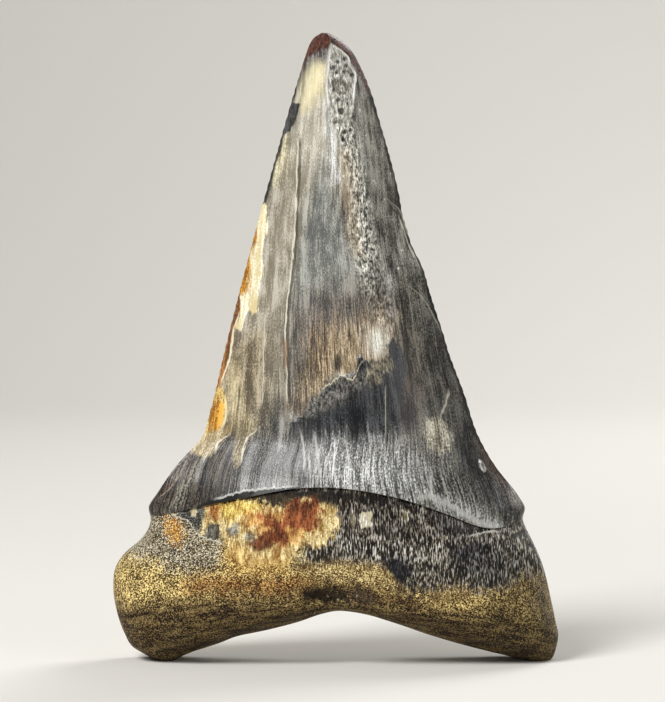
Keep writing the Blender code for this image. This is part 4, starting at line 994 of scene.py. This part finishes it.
# For each material, a grain has features of about so many millimetres across, up and in depth, and a
# noise detail. A pattern is 0 and 1 at two values of the weighted sum of its grains. The powers of red,
# green and blue deepen the tones in between, and warm them where they differ.
enamel = {
    "dark": "#211f1d",
    "light": "#96938a",
    "roughness": 0.33,
    "specular": 0.35,
    "coat": 0.15,
    "coatRoughness": 0.15,
    "grains": {
        "bands": (1.2, 14.0, 1.2, 3.0),
        "clouds": (1.3, 2.5, 1.3, 3.0),
        "fibres": (0.17, 3.0, 0.17, 2.0),
        "flutes": (0.25, 5.0, 0.25, 2.0),
        "dashes": (0.14, 0.7, 0.14, 1.0),
        "stipple": (0.15, 0.22, 0.15, 1.0),
        "pits": (0.22, 0.34, 0.22, 2.0),
        "chips": (0.6, 0.7, 0.6, 2.0),
        "fringe": (0.4, 2.0, 0.4, 4.0),
    },
    "patterns": {
        "wobble": (0.3, 0.7, {"fringe": 1.0}),
        "polished": (0.645, 0.805, {"bands": 0.4, "fibres": 0.25, "clouds": 0.45, "stipple": 0.35}),
        "flecks": (0.7, 0.77, {"stipple": 0.75, "clouds": 0.3}),
        "streaky": (0.65, 0.85, {"bands": 0.4, "fibres": 0.55, "dashes": 0.25, "stipple": 0.25}),
        "fluted": (0.63, 0.78, {"flutes": 0.45, "stipple": 0.4, "fibres": 0.3, "dashes": 0.25}),
        "pitted": (0.49, 0.71, {"pits": 0.6, "chips": 0.6}),
    },
    "powers": (1.5, 1.5, 1.55),
    "rimDark": "#12100f",       # shade along the very edges
    "rimLight": "#3a342f",
    "rimWidth": (0.42, 0.2),    # distances from the edge
    "rimRaggedness": 0.12,
    "rimCover": 0.9,
    "streakHeight": 0.3,        # of the streaks, against the pits of the rough patches
    "bumpHeight": 0.1,
    "bumpStrength": 0.7,
}


def fossilEnamel():
    # Fossil enameloid, polished by wear and stained by minerals. The eye sees a soft gloss over long
    # upright fibres, and dull pitted patches where it has flaked off. The real fibres are too fine to
    # show, so they are drawn as coarse as they need to be, at 0.14 to 0.25 mm.
    material, tree, shader = newMaterial("fossilEnamel")
    place = addNode(tree, "Attribute", {"attribute_name": "grain"}, {}, "Vector")
    patterns = addPatterns(tree, place, enamel)
    wobble = patterns["wobble"]
    colours = (linear(enamel["dark"]), linear(enamel["light"]))
    markings = {**lipEnamelMarkings, **enamelMarkings}
    colours, roughness, shares = layMarkings(tree, colours, enamel["roughness"], markings, wobble)
    gap = addNode(tree, "Attribute", {"attribute_name": "edgeGap"}, {}, "Fac")
    inputs = {0: wobble, 1: enamel["rimRaggedness"], 2: gap}
    gap = addNode(tree, "Math", {"operation": "MULTIPLY_ADD"}, inputs)
    start, whole = enamel["rimWidth"]
    rim = addNode(tree, "MapRange", {}, {0: gap, 1: start, 2: whole, 4: enamel["rimCover"]})
    colours = layColours(tree, colours, rim, (enamel["rimDark"], enamel["rimLight"]))
    colours, roughness, edgeShares = layMarkings(tree, colours, roughness, edgeMarkings, wobble)
    colours = drawLines(tree, colours, {**enamelLines, **lipLines}, wobble)
    footed = strongest(tree, shares, ("lowerCrown", "footHighlight", "leftFlange"))
    streaked = strongest(tree, shares, ("woodGrain", "goldStreaks", "speckledBase"))
    rough = strongest(tree, {**shares, **edgeShares}, ("roughStrip", "tipScar", "tipCap", "curls"))
    pattern = strongest(tree, patterns, ("flecks", "polished"))
    for share, name in ((footed, "fluted"), (streaked, "streaky"), (rough, "pitted")):
        pattern = addNode(tree, "Mix", {}, {0: share, 2: pattern, 3: patterns[name]})
    inputs = {0: patterns["streaky"], 1: enamel["streakHeight"]}
    height = addNode(tree, "Math", {"operation": "MULTIPLY"}, inputs)
    height = addNode(tree, "Mix", {}, {0: rough, 2: height, 3: patterns["pitted"]})
    shader.inputs["Specular IOR Level"].default_value = enamel["specular"]
    shader.inputs["Coat Weight"].default_value = enamel["coat"]
    shader.inputs["Coat Roughness"].default_value = enamel["coatRoughness"]
    finishMaterial(tree, shader, enamel, colours, roughness, pattern, height)
    return material


bone = {
    "dark": "#33230d",
    "light": "#f7dd94",
    "roughness": 0.6,
    "specular": 0.2,
    "grains": {
        "specks": (0.16, 0.16, 0.16, 2.0),
        "dust": (0.12, 0.12, 0.12, 0.0),
        "dashes": (0.115, 0.6, 0.8, 1.0),
        "drips": (0.45, 1.6, 1.2, 2.0),
        "lumps": (1.4, 1.4, 1.4, 3.0),
        "streaks": (2.4, 0.45, 2.4, 3.0),
        "fringe": (0.4, 0.8, 0.4, 4.0),
    },
    "patterns": {
        "wobble": (0.3, 0.7, {"fringe": 1.0}),
        "speckled": (0.61, 0.79, {"specks": 0.75, "dust": 0.4, "lumps": 0.25}),
        "dashed": (0.65, 0.85, {"dashes": 0.95, "lumps": 0.35, "dust": 0.1}),
        "level": (0.63, 0.79, {"specks": 0.6, "dust": 0.3, "streaks": 0.5}),
        "stained": (0.52, 0.82, {"drips": 0.6, "dashes": 0.4, "specks": 0.4}),
    },
    "powers": (1.4, 1.55, 1.8),
    "bumpHeight": 0.15,
    "bumpStrength": 0.7,
}


def fossilBone():
    # Mineral-filled root bone, dull and porous. The eye sees bright grains between dark pores, drawn
    # out into short upright dashes at the neck and level streaks underneath. The dust among them is
    # too fine to show, so it is drawn as coarse as it needs to be, at 0.12 mm.
    # The brightest grains partly stand for glints: painted highlights.
    material, tree, shader = newMaterial("fossilBone")
    place = addNode(tree, "Attribute", {"attribute_name": "boneGrain"}, {}, "Vector")
    patterns = addPatterns(tree, place, bone)
    wobble = patterns["wobble"]
    colours = (linear(bone["dark"]), linear(bone["light"]))
    markings = {**lipBoneMarkings, **boneMarkings}
    colours, roughness, shares = layMarkings(tree, colours, bone["roughness"], markings, wobble)
    colours = drawLines(tree, colours, boneLines, wobble)
    neck = strongest(tree, shares, ("neckBand", "darkFlank", "lipNeck"))
    pattern = patterns["speckled"]
    for share, name in ((neck, "dashed"), (shares["shadedUnderside"], "level"), (shares["creamPatch"], "stained")):
        pattern = addNode(tree, "Mix", {}, {0: share, 2: pattern, 3: patterns[name]})
    shader.inputs["Specular IOR Level"].default_value = bone["specular"]
    finishMaterial(tree, shader, bone, colours, roughness, pattern, pattern)
    return material


def plainMaterial(name, colour, roughness):
    material, _, shader = newMaterial(name)
    shader.inputs["Base Color"].default_value = linear(colour)
    shader.inputs["Roughness"].default_value = roughness
    return material


studio = {
    "distance": 350.0,
    "pitch": 3.0,                # degrees down
    "aim": (-0.31, 2.9, 29.49),  # on the upright plane of the edges
    "frameHeight": 67.56,        # what the view covers from top to bottom at the aim
    "sensor": 36.0,

    # From here on in metres
    "floorWidth": 1.2,
    "floorFront": -0.8,
    "floorBack": 0.5,
    "backdropHeight": 0.6,
    "bend": 0.15,                # radius where the floor curves up
    "bendSteps": 12,
    "floorColour": "#d9d6d0",
    "airColour": "#e6e6e4",
    "airStrength": 0.26,
    "lightTarget": (0, 0, 0.03),
    "lights": {                  # place, side, and power in watts
        "keyLight": ((-0.22, -0.22, 0.32), 0.18, 2.0),
        "fillLight": ((0.35, -0.25, 0.12), 0.25, 0.4),
        "backLight": ((0.22, 0.32, 0.3), 0.22, 1.4),
    },
}


def seenPlaces(places):
    # Where each place appears on the upright plane of the edges, seen from the studio's viewpoint.
    pitch = math.radians(studio["pitch"])
    forward = np.array([0, math.cos(pitch), -math.sin(pitch)])
    up = np.array([0, math.sin(pitch), math.cos(pitch)])
    aim = np.array(studio["aim"])
    eye = aim - forward * studio["distance"]
    offset = places - eye
    depth = offset @ forward
    across = offset[:, 0] / depth * studio["distance"]
    height = offset @ up / depth * studio["distance"]
    return np.stack([aim[0] + across, aim[2] + height], axis=1)


def addSurfaceValues(piece, columns, places, isTongue):
    # Values on the surface that the materials read: the grain's directions and each marking's border.
    mesh = piece.data
    seen = seenPlaces(places)
    height = places[:, 2]
    gap = (1 - np.abs(columns)) * halfWidths(height)
    lipGap = np.minimum(gap, height - np.maximum(smoothCurve(lowerEdge, columns), 0.0))
    farAway = tooth["capWrap"]    # past the reach of any border
    values = {"edgeGap": gap}
    for name, marking in allMarkings.items():
        wrap = tooth["capWrap"] if name == "tipCap" else tooth["edgeWrap"]
        distance = markingDistance(seen, marking[-1])
        values[name] = np.where(isTongue, distance, np.minimum(distance, wrap - lipGap))
    for name, marking in {**lipEnamelMarkings, **lipBoneMarkings}.items():
        distance = signedDistance(places[:, [0, 2]], marking[-1])
        values[name] = np.where(isTongue, -farAway, np.minimum(distance, lipGap - tooth["edgeWrap"]))
    for name, value in values.items():
        mesh.attributes.new(name, "FLOAT", "POINT").data.foreach_set("value", value)
    zero = np.zeros(len(places))
    side = np.where(isTongue, 0.0, tooth["lipShift"])
    vectors = {"grain": (acrossBlade(columns, height), side, height),
               "boneGrain": (places[:, 0], places[:, 1], alongArch(columns, height))}
    for name, line in {**enamelLines, **boneLines, **lipLines}.items():
        onSide = isTongue != (name in lipLines)
        offset, beyond = lineValues(places[:, [0, 2]] if name in lipLines else seen, line[-1])
        vectors[name] = (offset, np.where(onSide, beyond, farAway), zero)
    for name, parts in vectors.items():
        layer = mesh.attributes.new(name, "FLOAT_VECTOR", "POINT")
        layer.data.foreach_set("vector", np.stack(parts, axis=1).ravel())


piece = buildTooth()
print("surface built")
piece.data.materials.append(fossilEnamel())
piece.data.materials.append(fossilBone())
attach(piece, "root")
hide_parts("fossil_tooth")
print("tooth dressed")


def addCamera():
    data = bpy.data.cameras.new("camera")
    data.sensor_fit = "VERTICAL"
    data.sensor_height = studio["sensor"]
    data.lens = studio["sensor"] * studio["distance"] / studio["frameHeight"]
    camera = bpy.data.objects.new("camera", data)
    pitch = math.radians(studio["pitch"])
    away = Vector((0, -math.cos(pitch), math.sin(pitch))) * studio["distance"]
    camera.location = (Vector(studio["aim"]) + away) * mm
    camera.rotation_euler = (math.radians(90) - pitch, 0, 0)
    bpy.context.scene.collection.objects.link(camera)
    bpy.context.scene.camera = camera


def addFloor():
    # One sheet of pale card that curves up into the backdrop.
    data = bpy.data.meshes.new("paperSweep")
    side, back, bend = studio["floorWidth"] / 2, studio["floorBack"], studio["bend"]
    profile = [(studio["floorFront"], 0.0)]
    for i in range(studio["bendSteps"] + 1):
        angle = i / studio["bendSteps"] * math.pi / 2
        profile.append((back - bend + bend * math.sin(angle), bend - bend * math.cos(angle)))
    profile.append((back, studio["backdropHeight"]))
    points = [(x, y, z) for y, z in profile for x in (-side, side)]
    faces = [(2 * i, 2 * i + 1, 2 * i + 3, 2 * i + 2) for i in range(len(profile) - 1)]
    data.from_pydata(points, [], faces)
    data.shade_smooth()
    sweep = bpy.data.objects.new("paperSweep", data)
    sweep.data.materials.append(plainMaterial("paleCard", studio["floorColour"], 0.9))
    bpy.context.scene.collection.objects.link(sweep)


def addLight(name, place, size, power):
    data = bpy.data.lights.new(name, "AREA")
    data.size = size
    data.energy = power
    light = bpy.data.objects.new(name, data)
    light.location = place
    facing = Vector(studio["lightTarget"]) - Vector(place)
    light.rotation_euler = facing.to_track_quat("-Z", "Y").to_euler()
    bpy.context.scene.collection.objects.link(light)


def addWorld():
    # The plain transform keeps the colours as they are named.
    bpy.context.scene.view_settings.view_transform = "Standard"
    world = bpy.data.worlds.new("studioAir")
    world.use_nodes = True
    background = world.node_tree.nodes["Background"]
    background.inputs["Color"].default_value = linear(studio["airColour"])
    background.inputs["Strength"].default_value = studio["airStrength"]
    bpy.context.scene.world = world


addCamera()
addFloor()
addWorld()
for name, settings in studio["lights"].items():
    addLight(name, *settings)
print("studio ready")
